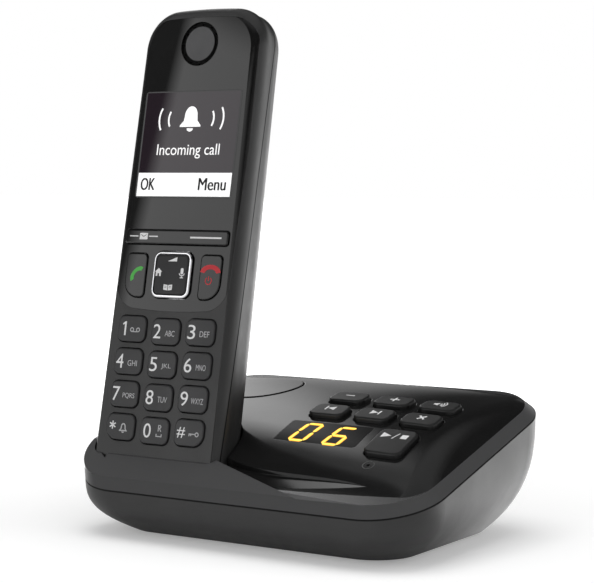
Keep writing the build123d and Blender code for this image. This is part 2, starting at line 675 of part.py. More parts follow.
with BuildPart() as lower_shell:
    add(hull_form(0))
    add(hull_form(BASE_WALL), mode=Mode.SUBTRACT)
    with BuildSketch(Plane.XY.offset(FOOT_PROUD)):
        with Locations((0, (HULL_FRONT_INSET - HULL_SIDE_INSET) / 2)):
            RectangleRounded(
                BASE_WIDTH - 2 * HULL_SIDE_INSET - BASE_WALL,
                BASE_DEPTH - HULL_FRONT_INSET - HULL_SIDE_INSET - BASE_WALL,
                HULL_FLOOR_CORNER_R - BASE_WALL / 2,
            )
    extrude(amount=BASE_FLOOR)
    add(board_posts.part)
    add(socket_bay.part)
    with BuildSketch(Plane.XZ.offset(-SOCKET_FACE_Y)):
        with Locations(((bay_left + bay_right) / 2, SOCKET_Z)):
            Rectangle(bay_right - bay_left, SOCKET_BAY_Z)
    extrude(amount=-20, mode=Mode.SUBTRACT)
    with BuildSketch(Plane.XZ.offset(-SOCKET_FACE_Y)):
        with Locations([(x, SOCKET_Z) for x in SOCKET_X]):
            Rectangle(SOCKET_MOUTH_W + 0.4, SOCKET_MOUTH_H + 0.4)
    extrude(amount=SOCKET_BAY_WALL, mode=Mode.SUBTRACT)
    for site_x, site_y in SCREW_SITES:
        boss_top = seam_height(site_y) - BOSS_TOP_DROP
        with BuildSketch(Plane.XY.offset(FOOT_PROUD)):
            with Locations((site_x, site_y)):
                Circle(BOSS_R + BASE_WALL / 2)
        extrude(amount=boss_top - FOOT_PROUD)
        with BuildSketch(Plane.XY.offset(FOOT_PROUD)):
            with Locations((site_x, site_y)):
                Circle(SCREW_HEAD_R + 0.2)
        extrude(amount=SCREW_SINK + SCREW_HEAD_T, mode=Mode.SUBTRACT)
        with BuildSketch(Plane.XY.offset(FOOT_PROUD)):
            with Locations((site_x, site_y)):
                Circle(SCREW_SHAFT_R + 0.2)
        extrude(amount=boss_top, mode=Mode.SUBTRACT)
    with BuildSketch(Plane.XY.offset(FOOT_PROUD)):
        with Locations((0, FOOT_CENTRE_Y)):
            with GridLocations(FOOT_SPAN_X, FOOT_SPAN_Y, 2, 2):
                Circle(FOOT_R)
    extrude(amount=FOOT_SINK, mode=Mode.SUBTRACT)
    with BuildSketch(Plane.XY.offset(FOOT_PROUD)):
        with Locations(SPEAKER_AT):
            with GridLocations(SLOT_PITCH, 1, SLOT_COUNT, 1):
                SlotOverall(SLOT_LENGTH, SLOT_WIDTH, rotation=90)
    extrude(amount=BASE_FLOOR + 1, mode=Mode.SUBTRACT)
    add(pocket_form(POCKET_CLEARANCE + POCKET_WALL + SHELL_GAP), mode=Mode.SUBTRACT)
lower_shell.part.label = "lower_shell"
export_step(lower_shell.part, "parts/lower_shell.step")

# ------------------------------------------------------------ base: feet and screws
with BuildPart() as rubber_feet:
    with BuildSketch(Plane.XY):
        with Locations((0, FOOT_CENTRE_Y)):
            with GridLocations(FOOT_SPAN_X, FOOT_SPAN_Y, 2, 2):
                Circle(FOOT_R)
    extrude(amount=FOOT_PROUD + FOOT_SINK)
    chamfer(rubber_feet.faces().group_by(Axis.Z)[0].edges(), FOOT_PROUD / 3)
rubber_feet.part.label = "rubber_feet"
export_step(rubber_feet.part, "parts/rubber_feet.step")

with BuildPart() as base_screws:
    for site_x, site_y in SCREW_SITES:
        head_z = FOOT_PROUD + SCREW_SINK
        boss_top = seam_height(site_y) - BOSS_TOP_DROP
        with BuildSketch(Plane.XY.offset(head_z)):
            with Locations((site_x, site_y)):
                Circle(SCREW_HEAD_R)
        extrude(amount=SCREW_HEAD_T)
        with BuildSketch(Plane.XY.offset(head_z)):
            with Locations((site_x, site_y)):
                Circle(SCREW_SHAFT_R)
        extrude(amount=boss_top + SCREW_BITE - head_z)
base_screws.part.label = "base_screws"
export_step(base_screws.part, "parts/base_screws.step")

# ------------------------------------------------------------ base: keys
for key_name, site in deck_key_sites():
    key_part = deck_key(site, DECK_KEY_WIDTH, DECK_KEY_DEPTH, DECK_KEY_CORNER_R)
    key_part.label = key_name
    export_step(key_part, f"parts/{key_name}.step")

play_stop_key = deck_key(PLAY_KEY_AT, PLAY_KEY_WIDTH, PLAY_KEY_DEPTH, DECK_KEY_CORNER_R)
play_stop_key.label = "play_stop_key"
export_step(play_stop_key, "parts/play_stop_key.step")

page_plane = deck_plane(*PAGE_AT)
page_flange_top = BASE_WALL + KEY_FLANGE_GAP
with BuildPart() as page_button:
    with BuildSketch(page_plane.offset(3)):
        Circle(PAGE_R + PAGE_GAP + KEY_FLANGE)
    extrude(amount=-12)
    add(deck_form(page_flange_top), mode=Mode.INTERSECT)
    with BuildSketch(page_plane.offset(3)):
        Circle(PAGE_R)
    extrude(amount=-12)
    add(deck_form(-PAGE_PROUD), mode=Mode.INTERSECT)
    add(deck_form(page_flange_top + KEY_FLANGE_T), mode=Mode.SUBTRACT)
page_button.part.label = "page_button"
export_step(page_button.part, "parts/page_button.step")

# ------------------------------------------------------------ base: mat, board and display
key_block_back = DECK_KEYS_AT[1] + DECK_KEY_PITCH_Y / 2 + DECK_KEY_DEPTH / 2 + MAT_EDGE
key_block_front = PLAY_KEY_AT[1] - PLAY_KEY_DEPTH / 2
key_block_width = 2 * DECK_KEY_PITCH_X + DECK_KEY_WIDTH + 2 * MAT_EDGE
with BuildPart() as key_mat:
    with BuildSketch(Plane.XY.offset(MAT_LOW_Z)):
        with Locations((DECK_KEYS_AT[0], (key_block_back + key_block_front) / 2)):
            Rectangle(key_block_width, key_block_back - key_block_front)
    extrude(amount=MAT_BLOCK_Z)
    add(deck_form(MAT_DROP), mode=Mode.INTERSECT)
    add(deck_form(MAT_DROP + MAT_T), mode=Mode.SUBTRACT)
    with BuildSketch(deck_plane(*WINDOW_AT).offset(5)):
        Rectangle(LED_WIDTH + 1, LED_DEPTH + 1)
    extrude(amount=-30, mode=Mode.SUBTRACT)
key_mat.part.label = "key_mat"
export_step(key_mat.part, "parts/key_mat.step")

with BuildPart() as circuit_board:
    with BuildSketch(board_plane):
        Rectangle(BOARD_WIDTH, BOARD_DEPTH)
    extrude(amount=BOARD_T)
circuit_board.part.label = "circuit_board"
export_step(circuit_board.part, "parts/circuit_board.step")

with BuildPart() as display_window:
    with BuildSketch(deck_plane(*WINDOW_AT).offset(-WINDOW_T)):
        RectangleRounded(WINDOW_WIDTH, WINDOW_DEPTH, WINDOW_CORNER_R)
    extrude(amount=WINDOW_T + 1)
    add(deck_space, mode=Mode.INTERSECT)
display_window.part.label = "display_window"
export_step(display_window.part, "parts/display_window.step")

with BuildPart() as digit_display:
    with BuildSketch(deck_plane(*WINDOW_AT).offset(-WINDOW_T)):
        Rectangle(LED_WIDTH, LED_DEPTH)
    extrude(amount=-2 * BOARD_DROP)
    split(bisect_by=board_plane.offset(BOARD_T), keep=Keep.TOP)
digit_display.part.label = "digit_display"
export_step(digit_display.part, "parts/digit_display.step")

# ------------------------------------------------------------ base: microphone, loudspeaker, sockets
with BuildPart() as base_microphone:
    with BuildSketch(deck_plane(*MIC_AT)):
        Circle(MIC_R)
    extrude(amount=-BASE_WALL - MIC_T)
    add(deck_form(BASE_WALL), mode=Mode.INTERSECT)
base_microphone.part.label = "base_microphone"
export_step(base_microphone.part, "parts/base_microphone.step")

speaker_foot = FOOT_PROUD + BASE_FLOOR
with BuildPart() as base_loudspeaker:
    with BuildSketch(Plane.XY.offset(speaker_foot)):
        with Locations(SPEAKER_AT):
            Circle(SPEAKER_R)
            Circle(SPEAKER_R - SPEAKER_RING, mode=Mode.SUBTRACT)
    extrude(amount=SPEAKER_T / 3)
    with BuildSketch(Plane.XY.offset(speaker_foot + SPEAKER_T / 3)):
        with Locations(SPEAKER_AT):
            Circle(SPEAKER_R)
    extrude(amount=SPEAKER_T / 6)
    with BuildSketch(Plane.XY.offset(speaker_foot + SPEAKER_T / 2)):
        with Locations(SPEAKER_AT):
            Circle(SPEAKER_R - SPEAKER_RING)
    extrude(amount=SPEAKER_T / 2)
base_loudspeaker.part.label = "base_loudspeaker"
export_step(base_loudspeaker.part, "parts/base_loudspeaker.step")

for socket_name, socket_x in zip(("line_socket", "power_socket"), SOCKET_X):
    with BuildPart() as socket:
        with BuildSketch(Plane.XZ.offset(-(SOCKET_FACE_Y - SOCKET_BAY_WALL))):
            with Locations((socket_x, SOCKET_Z)):
                Rectangle(SOCKET_WIDTH, SOCKET_HEIGHT)
        extrude(amount=SOCKET_DEPTH)
        with BuildSketch(Plane.XZ.offset(-(SOCKET_FACE_Y - SOCKET_BAY_WALL))):
            with Locations((socket_x, SOCKET_Z)):
                Rectangle(SOCKET_MOUTH_W, SOCKET_MOUTH_H)
        extrude(amount=SOCKET_MOUTH_DEEP, mode=Mode.SUBTRACT)
    socket.part.label = socket_name
    export_step(socket.part, f"parts/{socket_name}.step")

# ------------------------------------------------------------ handset: face cut-outs
def face_prism(outline, near, far):
    """Extrude a face sketch drawn at the face plane, from a height near down to a depth far."""
    with BuildPart() as prism:
        add(outline.moved(Location(outward * near)))
        extrude(amount=-(near + far), dir=outward)
    return prism.part


def number_key_sites():
    """Name, column and row of each number key, with the "5" at column 0, row 0."""
    rows = (("key_star", "key_0", "key_hash"), ("key_7", "key_8", "key_9"),
            ("key_4", "key_5", "key_6"), ("key_1", "key_2", "key_3"))
    for row, row_names in enumerate(rows):
        for column, key_name in enumerate(row_names):
            yield key_name, column - 1, row - 2


def number_key_outline(column, row, grow):
    """Outline of one number key, grown all round; the lowest outer corners are cut in more."""
    centre = (column * KEY_PITCH_U, row * KEY_PITCH_V + abs(column) * KEY_SMILE)
    with BuildSketch(face_plane) as outline:
        with Locations(centre):
            Rectangle(KEY_WIDTH + 2 * grow, KEY_HEIGHT + 2 * grow)
        cut_corner = outline.vertices().group_by(Axis.Y)[0].sort_by(Axis.X)[-1 if column > 0 else 0]
        cut = row == -2 and column != 0
        others = outline.vertices().filter_by(lambda v: v.distance_to(cut_corner) > 1)
        fillet(others, KEY_CORNER_R + grow)
        fillet(outline.vertices().sort_by_distance(cut_corner)[0], (KEY_CUT_R if cut else KEY_CORNER_R) + grow)
    return outline.sketch


def call_key_outline(side, grow):
    """Outline of the talk key (side -1) or the end key (side 1), with its lower outer corner cut in."""
    with BuildSketch(face_plane) as outline:
        with Locations((side * CALL_KEY_U, CALL_KEY_V)):
            Rectangle(CALL_KEY_WIDTH + 2 * grow, CALL_KEY_HEIGHT + 2 * grow)
        cut_corner = outline.vertices().group_by(Axis.Y)[0].sort_by(Axis.X)[-1 if side > 0 else 0]
        others = outline.vertices().filter_by(lambda v: v.distance_to(cut_corner) > 1)
        fillet(others, CALL_KEY_CORNER_R + grow)
        fillet(outline.vertices().sort_by_distance(cut_corner)[0], CALL_KEY_CUT_R + grow)
    return outline.sketch


def centred_outline(v, width, height, corner):
    """Rounded rectangle on the handset's centre line."""
    with BuildSketch(face_plane) as outline:
        with Locations((0, v)):
            RectangleRounded(width, height, corner)
    return outline.sketch


def plate_outline():
    """Outline of the glossy faceplate, with a bowed foot between the key rows."""
    with BuildSketch(face_plane) as outline:
        with BuildLine():
            foot = ThreePointArc(
                (-PLATE_FOOT_WIDTH / 2, PLATE_FOOT_V + PLATE_FOOT_BOW),
                (0, PLATE_FOOT_V - PLATE_FOOT_BOW),
                (PLATE_FOOT_WIDTH / 2, PLATE_FOOT_V + PLATE_FOOT_BOW),
            )
            right = Line(foot @ 1, (PLATE_HEAD_WIDTH / 2, PLATE_HEAD_V - HEAD_CROWN))
            head = ThreePointArc(right @ 1, (0, PLATE_HEAD_V), (-PLATE_HEAD_WIDTH / 2, PLATE_HEAD_V - HEAD_CROWN))
            Line(head @ 1, foot @ 0)
        make_face()
        fillet(outline.vertices().group_by(Axis.Y)[0], PLATE_FOOT_R)
        fillet(outline.vertices().group_by(Axis.Y)[-1], PLATE_HEAD_R)
    return outline.sketch


def key_form(outline, flange_outline, proud, gap):
    """A handset key: cap through the face and a flange under it."""
    flange_top = FACE_WALL + gap
    with BuildPart() as key:
        add(face_prism(flange_outline, -flange_top, flange_top + FACE_KEY_FLANGE_T))
        add(face_prism(outline, proud, flange_top + FACE_KEY_FLANGE_T))
        cap_face = key.faces().sort_by(Axis(face_plane.origin, face_plane.z_dir))[-1]
        fillet(cap_face.edges(), min(KEY_EDGE_R, proud) * 0.6)
    return key.part


def screen_opening(grow):
    """Outline of the screen, grown all round."""
    centre = (SCREEN_FOOT_V + SCREEN_HEAD_V) / 2
    return centred_outline(centre, SCREEN_WIDTH + 2 * grow, SCREEN_HEAD_V - SCREEN_FOOT_V + 2 * grow, 1)


key_holes = [number_key_outline(column, row, FACE_KEY_CLEARANCE) for _, column, row in number_key_sites()]
key_holes.append(call_key_outline(-1, FACE_KEY_CLEARANCE))
key_holes.append(call_key_outline(1, FACE_KEY_CLEARANCE))
key_holes.append(
    centred_outline(NAV_V, NAV_WIDTH + 2 * FACE_KEY_CLEARANCE, NAV_WIDTH + 2 * FACE_KEY_CLEARANCE,
                    NAV_CORNER_R + FACE_KEY_CLEARANCE)
)
key_holes.append(
    centred_outline(BAR_V, BAR_WIDTH + 2 * FACE_KEY_CLEARANCE, BAR_HEIGHT + 2 * FACE_KEY_CLEARANCE,
                    BAR_CORNER_R + FACE_KEY_CLEARANCE)
)
ear_plane = Plane(origin=face_plane.origin + along * EAR_V, x_dir=(1, 0, 0), z_dir=outward)

# ------------------------------------------------------------ handset: shells and faceplate
with BuildPart() as front_shell:
    add(front_share())
    add(handset_room, mode=Mode.SUBTRACT)
    add(face_prism(plate_outline(), 1, PLATE_T), mode=Mode.SUBTRACT)
    for hole_outline in key_holes:
        add(face_prism(hole_outline, 1, FACE_WALL + 1), mode=Mode.SUBTRACT)
    add(face_prism(screen_opening(-SCREEN_LEDGE), 1, FACE_WALL + 1), mode=Mode.SUBTRACT)
    with BuildSketch(ear_plane.offset(1)):
        with PolarLocations((EAR_DISC_R + EAR_HOLE_R) / 2, EAR_PORTS):
            Circle(EAR_PORT_R)
    extrude(amount=-FACE_WALL - 2, mode=Mode.SUBTRACT)
front_shell.part.label = "front_shell"
export_step(front_shell.part, "parts/front_shell.step")

with BuildPart() as faceplate:
    add(handset_body)
    add(face_prism(plate_outline(), 1, PLATE_T), mode=Mode.INTERSECT)
    for hole_outline in key_holes[-4:]:
        add(face_prism(hole_outline, 1, PLATE_T + 1), mode=Mode.SUBTRACT)
    add(face_prism(screen_opening(0), 1, PLATE_T + 1), mode=Mode.SUBTRACT)
    with BuildSketch(ear_plane.offset(1)):
        Circle(EAR_HOLE_R)
    extrude(amount=-PLATE_T - 2, mode=Mode.SUBTRACT)
faceplate.part.label = "faceplate"
export_step(faceplate.part, "parts/faceplate.step")

cover_height = COVER_HEAD_V - COVER_FOOT_V
cover_v = (COVER_HEAD_V + COVER_FOOT_V) / 2
with BuildPart() as tray:
    add(handset_room)
    add(face_slab(TRAY_FOOT_V, TRAY_HEAD_V, TRAY_DEPTH, HANDSET_T), mode=Mode.INTERSECT)
    add(face_slab(TRAY_FOOT_V + TRAY_T, TRAY_HEAD_V - TRAY_T, TRAY_DEPTH + TRAY_T, HANDSET_T), mode=Mode.SUBTRACT)

with BuildPart() as rear_shell:
    add(handset_body)
    add(handset_room, mode=Mode.SUBTRACT)
    add(front_share(), mode=Mode.SUBTRACT)
    add(tray.part)
    add(
        face_prism(centred_outline(cover_v, COVER_WIDTH, cover_height, COVER_CORNER_R), -COVER_FROM, HANDSET_T + 2),
        mode=Mode.SUBTRACT,
    )
    with BuildSketch(contact_plane):
        with Locations([(side * CONTACT_SPACING / 2, CONTACT_DEPTH) for side in (-1, 1)]):
            Rectangle(CONTACT_WIDTH, CONTACT_LENGTH)
    extrude(amount=CONTACT_T, mode=Mode.SUBTRACT)
    with BuildSketch(face_plane.offset(-HANDSET_T - 1)):
        with Locations((0, RINGER_V)):
            with GridLocations(1, RINGER_SLOT_PITCH, 1, RINGER_SLOTS):
                SlotOverall(RINGER_SLOT_LENGTH, RINGER_SLOT_WIDTH)
    extrude(amount=HANDSET_WALL + 2, mode=Mode.SUBTRACT)
rear_shell.part.label = "rear_shell"
export_step(rear_shell.part, "parts/rear_shell.step")

with BuildPart() as battery_cover:
    add(handset_body)
    add(handset_room, mode=Mode.SUBTRACT)
    add(
        face_prism(
            centred_outline(cover_v, COVER_WIDTH - 2 * COVER_GAP, cover_height - 2 * COVER_GAP,
                            COVER_CORNER_R - COVER_GAP),
            -COVER_FROM - COVER_GAP,
            HANDSET_T + 2,
        ),
        mode=Mode.INTERSECT,
    )
    with BuildSketch(face_plane.offset(-HANDSET_T - 1)):
        with Locations((0, GRIP_V)):
            with GridLocations(1, GRIP_PITCH, 1, GRIP_COUNT):
                SlotOverall(GRIP_LENGTH, GRIP_WIDTH)
    extrude(amount=GRIP_DEPTH + 1, mode=Mode.SUBTRACT)
battery_cover.part.label = "battery_cover"
export_step(battery_cover.part, "parts/battery_cover.step")

# ------------------------------------------------------------ handset: earpiece and screen
with BuildPart() as earpiece_cover:
    with BuildSketch(ear_plane.offset(-PLATE_T)):
        Circle(EAR_HOLE_R)
    extrude(amount=EAR_STEP)
    with BuildSketch(ear_plane.offset(-PLATE_T)):
        Circle(EAR_DISC_R)
    extrude(amount=PLATE_T - EAR_SINK)
    with BuildSketch(ear_plane):
        with PolarLocations((EAR_DISC_R + EAR_HOLE_R) / 2, EAR_PORTS):
            Circle(EAR_PORT_R)
    extrude(amount=-PLATE_T - 1, mode=Mode.SUBTRACT)
earpiece_cover.part.label = "earpiece_cover"
export_step(earpiece_cover.part, "parts/earpiece_cover.step")

with BuildPart() as receiver_capsule:
    with BuildSketch(ear_plane.offset(-FACE_WALL)):
        Circle(RECEIVER_R)
    extrude(amount=-RECEIVER_T)
    chamfer(receiver_capsule.faces().sort_by(Axis(ear_plane.origin, ear_plane.z_dir))[0].edges(), RECEIVER_T / 5)
receiver_capsule.part.label = "receiver_capsule"
export_step(receiver_capsule.part, "parts/receiver_capsule.step")

screen_lens = face_prism(screen_opening(0), 0, PLATE_T)
screen_lens.label = "screen_lens"
export_step(screen_lens, "parts/screen_lens.step")

display_module = face_prism(screen_opening(-SCREEN_LEDGE + MODULE_MARGIN), -FACE_WALL, PCB_DEPTH)
display_module.label = "display_module"
export_step(display_module, "parts/display_module.step")

# ------------------------------------------------------------ handset: keys
for key_name, column, row in number_key_sites():
    number_key = key_form(
        number_key_outline(column, row, 0), number_key_outline(column, row, FACE_KEY_FLANGE), KEY_PROUD, FACE_KEY_GAP
    )
    number_key.label = key_name
    export_step(number_key, f"parts/{key_name}.step")

for key_name, side in (("talk_key", -1), ("end_key", 1)):
    call_key = key_form(
        call_key_outline(side, 0), call_key_outline(side, FACE_KEY_FLANGE), CALL_KEY_PROUD, FACE_KEY_GAP
    )
    call_key.label = key_name
    export_step(call_key, f"parts/{key_name}.step")

rocker_foot = FACE_WALL + ROCKER_GAP + FACE_KEY_FLANGE_T
rocker_rib_r = PCB_DEPTH - PAD_T - ROCKER_REST - rocker_foot


def rocking_axis(v, depth, direction):
    """Plane across the axis that a rocker turns about, at its place along the handset."""
    origin = face_plane.origin + along * v - outward * depth
    return Plane(origin=origin, x_dir=outward, z_dir=direction)


with BuildPart() as soft_key_bar:
    add(
        key_form(
            centred_outline(BAR_V, BAR_WIDTH, BAR_HEIGHT, BAR_CORNER_R),
            centred_outline(BAR_V, BAR_WIDTH + 2 * FACE_KEY_FLANGE, BAR_HEIGHT + 2 * FACE_KEY_FLANGE, BAR_CORNER_R),
            BAR_PROUD,
            ROCKER_GAP,
        )
    )
    with BuildSketch(rocking_axis(BAR_V, rocker_foot, along)):
        Circle(rocker_rib_r)
    extrude(amount=BAR_HEIGHT / 2, both=True)
soft_key_bar.part.label = "soft_key_bar"
export_step(soft_key_bar.part, "parts/soft_key_bar.step")

nav_pad_width = NAV_WIDTH - 2 * NAV_RING
nav_ring_form = key_form(
    centred_outline(NAV_V, NAV_WIDTH, NAV_WIDTH, NAV_CORNER_R),
    centred_outline(NAV_V, NAV_WIDTH + 2 * FACE_KEY_FLANGE, NAV_WIDTH + 2 * FACE_KEY_FLANGE, NAV_CORNER_R),
    NAV_PROUD,
    ROCKER_GAP,
)
with BuildPart() as navigation_ring:
    add(nav_ring_form)
    add(
        face_prism(
            centred_outline(NAV_V, nav_pad_width + 2 * NAV_RING_GAP, nav_pad_width + 2 * NAV_RING_GAP,
                            NAV_CORNER_R - NAV_RING + NAV_RING_GAP),
            NAV_PROUD + 1,
            FACE_WALL + ROCKER_GAP,
        ),
        mode=Mode.SUBTRACT,
    )
    for side in (-1, 1):
        rib_plane = rocking_axis(NAV_V, rocker_foot, Vector(side, 0, 0)).offset(NAV_WIDTH / 2 - NAV_RING)
        with BuildSketch(rib_plane):
            Circle(rocker_rib_r)
        extrude(amount=NAV_RING + FACE_KEY_FLANGE)
navigation_ring.part.label = "navigation_ring"
export_step(navigation_ring.part, "parts/navigation_ring.step")

with BuildPart() as navigation_key:
    add(
        face_prism(
            centred_outline(NAV_V, nav_pad_width, nav_pad_width, NAV_CORNER_R - NAV_RING),
            NAV_PAD_PROUD,
            FACE_WALL + ROCKER_GAP - NAV_RING_GAP,
        )
    )
    fillet(navigation_key.faces().sort_by(Axis(face_plane.origin, face_plane.z_dir))[-1].edges(), KEY_EDGE_R)
    with BuildSketch(rocking_axis(NAV_V, FACE_WALL + ROCKER_GAP - NAV_RING_GAP, along)):
        Circle(NAV_RING_GAP - ROCKER_REST)
    extrude(amount=nav_pad_width / 2 - NAV_CORNER_R, both=True)
navigation_key.part.label = "navigation_key"
export_step(navigation_key.part, "parts/navigation_key.step")

# ------------------------------------------------------------ handset: boards, mat and sound
keypad_mat = face_slab(
    -2 * KEY_PITCH_V - KEY_HEIGHT / 2 - 1, BAR_V + BAR_HEIGHT / 2 + 1, PCB_DEPTH - PAD_T, PCB_DEPTH, PCB_WIDTH
)
keypad_mat.label = "keypad_mat"
export_step(keypad_mat, "parts/keypad_mat.step")

handset_board = face_slab(PCB_FOOT_V, PCB_HEAD_V, PCB_DEPTH, PCB_DEPTH + PCB_T, PCB_WIDTH)
handset_board.label = "handset_board"
export_step(handset_board, "parts/handset_board.step")

for disc_name, disc_v, disc_r, disc_t in (
    ("ringer", RINGER_V, RINGER_R, RINGER_T),
    ("handset_microphone", MICROPHONE_V + 6, MICROPHONE_R, MICROPHONE_T),
):
    with BuildPart() as disc:
        with BuildSketch(face_plane.offset(-PCB_DEPTH - PCB_T)):
            with Locations((0, disc_v)):
                Circle(disc_r)
        extrude(amount=-disc_t)
    disc.part.label = disc_name
    export_step(disc.part, f"parts/{disc_name}.step")

# ------------------------------------------------------------ handset: battery
cell_depth = TRAY_DEPTH + TRAY_T + 0.2 + CELL_R
cell_plane = Plane(origin=face_plane.origin - outward * cell_depth + along * CELL_FOOT_V, x_dir=(1, 0, 0), z_dir=along)
with BuildPart() as battery_cells:
    with BuildSketch(cell_plane):
        with GridLocations(2 * CELL_R + CELL_GAP, 1, 2, 1):
            Circle(CELL_R)
    extrude(amount=CELL_LENGTH)
battery_cells.part.label = "battery_cells"
export_step(battery_cells.part, "parts/battery_cells.step")

with BuildPart() as battery_contacts:
    for end_plane in (cell_plane.offset(-CONTACT_T - 1.2), cell_plane.offset(CELL_LENGTH + 1.2)):
        with BuildSketch(end_plane):
            with GridLocations(2 * CELL_R + CELL_GAP, 1, 2, 1):
                Rectangle(CELL_R * 1.4, CELL_R * 1.5)
        extrude(amount=CONTACT_T)
battery_contacts.part.label = "battery_contacts"
export_step(battery_contacts.part, "parts/battery_contacts.step")

# ------------------------------------------------------------ charging contacts
contact_sites = [(side * CONTACT_SPACING / 2, CONTACT_DEPTH) for side in (-1, 1)]
with BuildPart() as handset_contacts:
    with BuildSketch(contact_plane):
        with Locations(contact_sites):
            Rectangle(CONTACT_WIDTH, CONTACT_LENGTH)
    extrude(amount=CONTACT_T)
handset_contacts.part.label = "handset_contacts"
export_step(handset_contacts.part, "parts/handset_contacts.step")

with BuildPart() as charging_contacts:
    with BuildSketch(contact_plane.offset(-CONTACT_GAP)):
        with Locations(contact_sites):
            Rectangle(CONTACT_BLADE, CONTACT_LENGTH)
    extrude(amount=-CONTACT_STEM)
    tips = charging_contacts.faces().filter_by(lambda f: f.normal_at().dot(along) > 0.9)
    fillet(tips.edges().filter_by(Axis.X), POCKET_CLEARANCE)
    with BuildSketch(contact_plane.offset(-POCKET_CLEARANCE - POCKET_WALL)):
        with Locations(contact_sites):
            Rectangle(CONTACT_WIDTH, CONTACT_LENGTH + 2)
    extrude(amount=-CONTACT_T)
charging_contacts.part.label = "charging_contacts"
export_step(charging_contacts.part, "parts/charging_contacts.step")
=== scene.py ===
"""Looks of an answering machine: a cordless handset standing in the cradle of its base.

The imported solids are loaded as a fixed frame. Each sub-assembly below dresses its
nodes with procedural finishes and adds the thin things that a solid leaves out, such
as printed legends, lit digits, screen content and contact springs. Lengths in the
classes are millimetres and become metres when a piece is placed.
"""
from __future__ import annotations

import logging
import math
from dataclasses import dataclass, field
from enum import Enum
from typing import Sequence

import bpy
import numpy as np
from mathutils import Matrix


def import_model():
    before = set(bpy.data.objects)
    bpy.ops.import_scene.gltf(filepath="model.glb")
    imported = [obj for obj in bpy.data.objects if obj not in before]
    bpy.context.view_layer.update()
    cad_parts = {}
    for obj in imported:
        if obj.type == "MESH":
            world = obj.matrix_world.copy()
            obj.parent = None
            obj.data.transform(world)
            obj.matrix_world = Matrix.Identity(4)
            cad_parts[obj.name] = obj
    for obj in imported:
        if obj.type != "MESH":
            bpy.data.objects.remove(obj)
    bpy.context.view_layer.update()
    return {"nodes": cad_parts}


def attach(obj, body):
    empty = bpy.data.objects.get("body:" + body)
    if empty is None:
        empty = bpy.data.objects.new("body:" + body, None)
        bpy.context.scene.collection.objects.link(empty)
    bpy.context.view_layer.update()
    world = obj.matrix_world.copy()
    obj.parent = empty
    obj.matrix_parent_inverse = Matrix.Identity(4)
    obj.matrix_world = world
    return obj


LOG = logging.getLogger("answering_machine")
MM = 0.001
Colour = tuple[float, float, float]
Place = tuple[float, float, float]
Point = tuple[float, float]
Loop = np.ndarray
Socket = bpy.types.NodeSocket
DEGREES_PER_POINT = 9.0  # of a drawn arc
FLIP = np.array([-1.0, 1.0])  # exchanges left and right
NOISE_SPAN = (0.3, 0.7)  # where nearly all of a noise's values lie
SHADE = (0.0015, 0.0015, 0.0015, 1.0)  # painted shade inside a parting line
GROOVE_SHADE = (0.002, 0.002, 0.002, 1.0)  # painted shade inside the groove round the earpiece
FACE_MIDDLE = (-34.1, -22.0, 86.0)  # middle of the handset's glossy face
FACE_HALF = (21.0, 62.0)  # its half width and half height


# ---- node canvas
class Canvas:
    """The node tree of a material or a world, with short calls for adding and linking nodes."""

    def __init__(self, owner: bpy.types.Material | bpy.types.World) -> None:
        """Empty the owner's tree, and add coordinates, of which the object's are the place."""
        owner.use_nodes = True
        self.tree = owner.node_tree
        self.tree.nodes.clear()
        self.coordinates = self.node("TexCoord").outputs
        self.place = self.coordinates["Object"]

    def node(self, kind: str, inputs: dict[object, object] | None = None, **settings: object) -> bpy.types.Node:
        """Add a node.

        Args:
            kind: the node's type name without its "ShaderNode" start.
            inputs: values, or output sockets to link, by input name or index.
            settings: the node's own properties.

        Returns:
            The new node.
        """
        made = self.tree.nodes.new("ShaderNode" + kind)
        for key, value in settings.items():
            setattr(made, key, value)
        for key, value in (inputs or {}).items():
            socket = made.inputs[key]
            if isinstance(value, Socket):
                self.tree.links.new(value, socket)
            else:
                socket.default_value = value
        return made

    def math(self, operation: str, first: object, second: object = 0.0) -> Socket:
        """One operation on numbers."""
        return self.node("Math", {0: first, 1: second}, operation=operation).outputs[0]

    def vector(self, operation: str, first: object, second: object = (0.0, 0.0, 0.0)) -> Socket:
        """One operation on vectors: a number from a dot product or a length, else a vector."""
        made = self.node("VectorMath", {0: first, 1: second}, operation=operation)
        return made.outputs[int(operation in ("DOT_PRODUCT", "LENGTH"))]

    def away(self, point: Place) -> Socket:
        """Way from a point in millimetres to the place, in metres."""
        return self.vector("SUBTRACT", self.place, tuple(c * MM for c in point))

    def ramp(self, value: object, low: float, high: float, start: float, end: float) -> Socket:
        """Smooth step of a value: start below low, end above high, eased between them."""
        inputs = {"Value": value, "From Min": low, "From Max": high, "To Min": start, "To Max": end}
        return self.node("MapRange", inputs, interpolation_type="SMOOTHSTEP").outputs[0]

    def noise(self, scale: float, detail: float = 3.0, rough: float = 0.55, vector: object = None) -> Socket:
        """Fractal noise between 0 and 1 at the place, or at another vector."""
        inputs = {"Vector": vector or self.place, "Scale": scale, "Detail": detail, "Roughness": rough}
        return self.node("TexNoise", inputs).outputs["Fac"]

    def bump(self, height: Socket, reach: float, normal: Socket | None = None) -> Socket:
        """Normal, or the mesh's own, turned by a height that stands for a reach in millimetres."""
        inputs = {"Height": height, "Distance": reach * MM, "Strength": 1.0}
        return self.node("Bump", inputs | ({"Normal": normal} if normal else {})).outputs[0]

    def blend(self, share: Socket, start: object, end: object) -> Socket:
        """Number between start and end by a share from 0 to 1."""
        return self.node("Mix", {0: share, 2: start, 3: end}).outputs[0]

    def blend_colour(self, share: Socket, start: object, end: object) -> Socket:
        """Colour between start and end by a share from 0 to 1."""
        return self.node("Mix", {0: share, 6: start, 7: end}, data_type="RGBA").outputs[2]


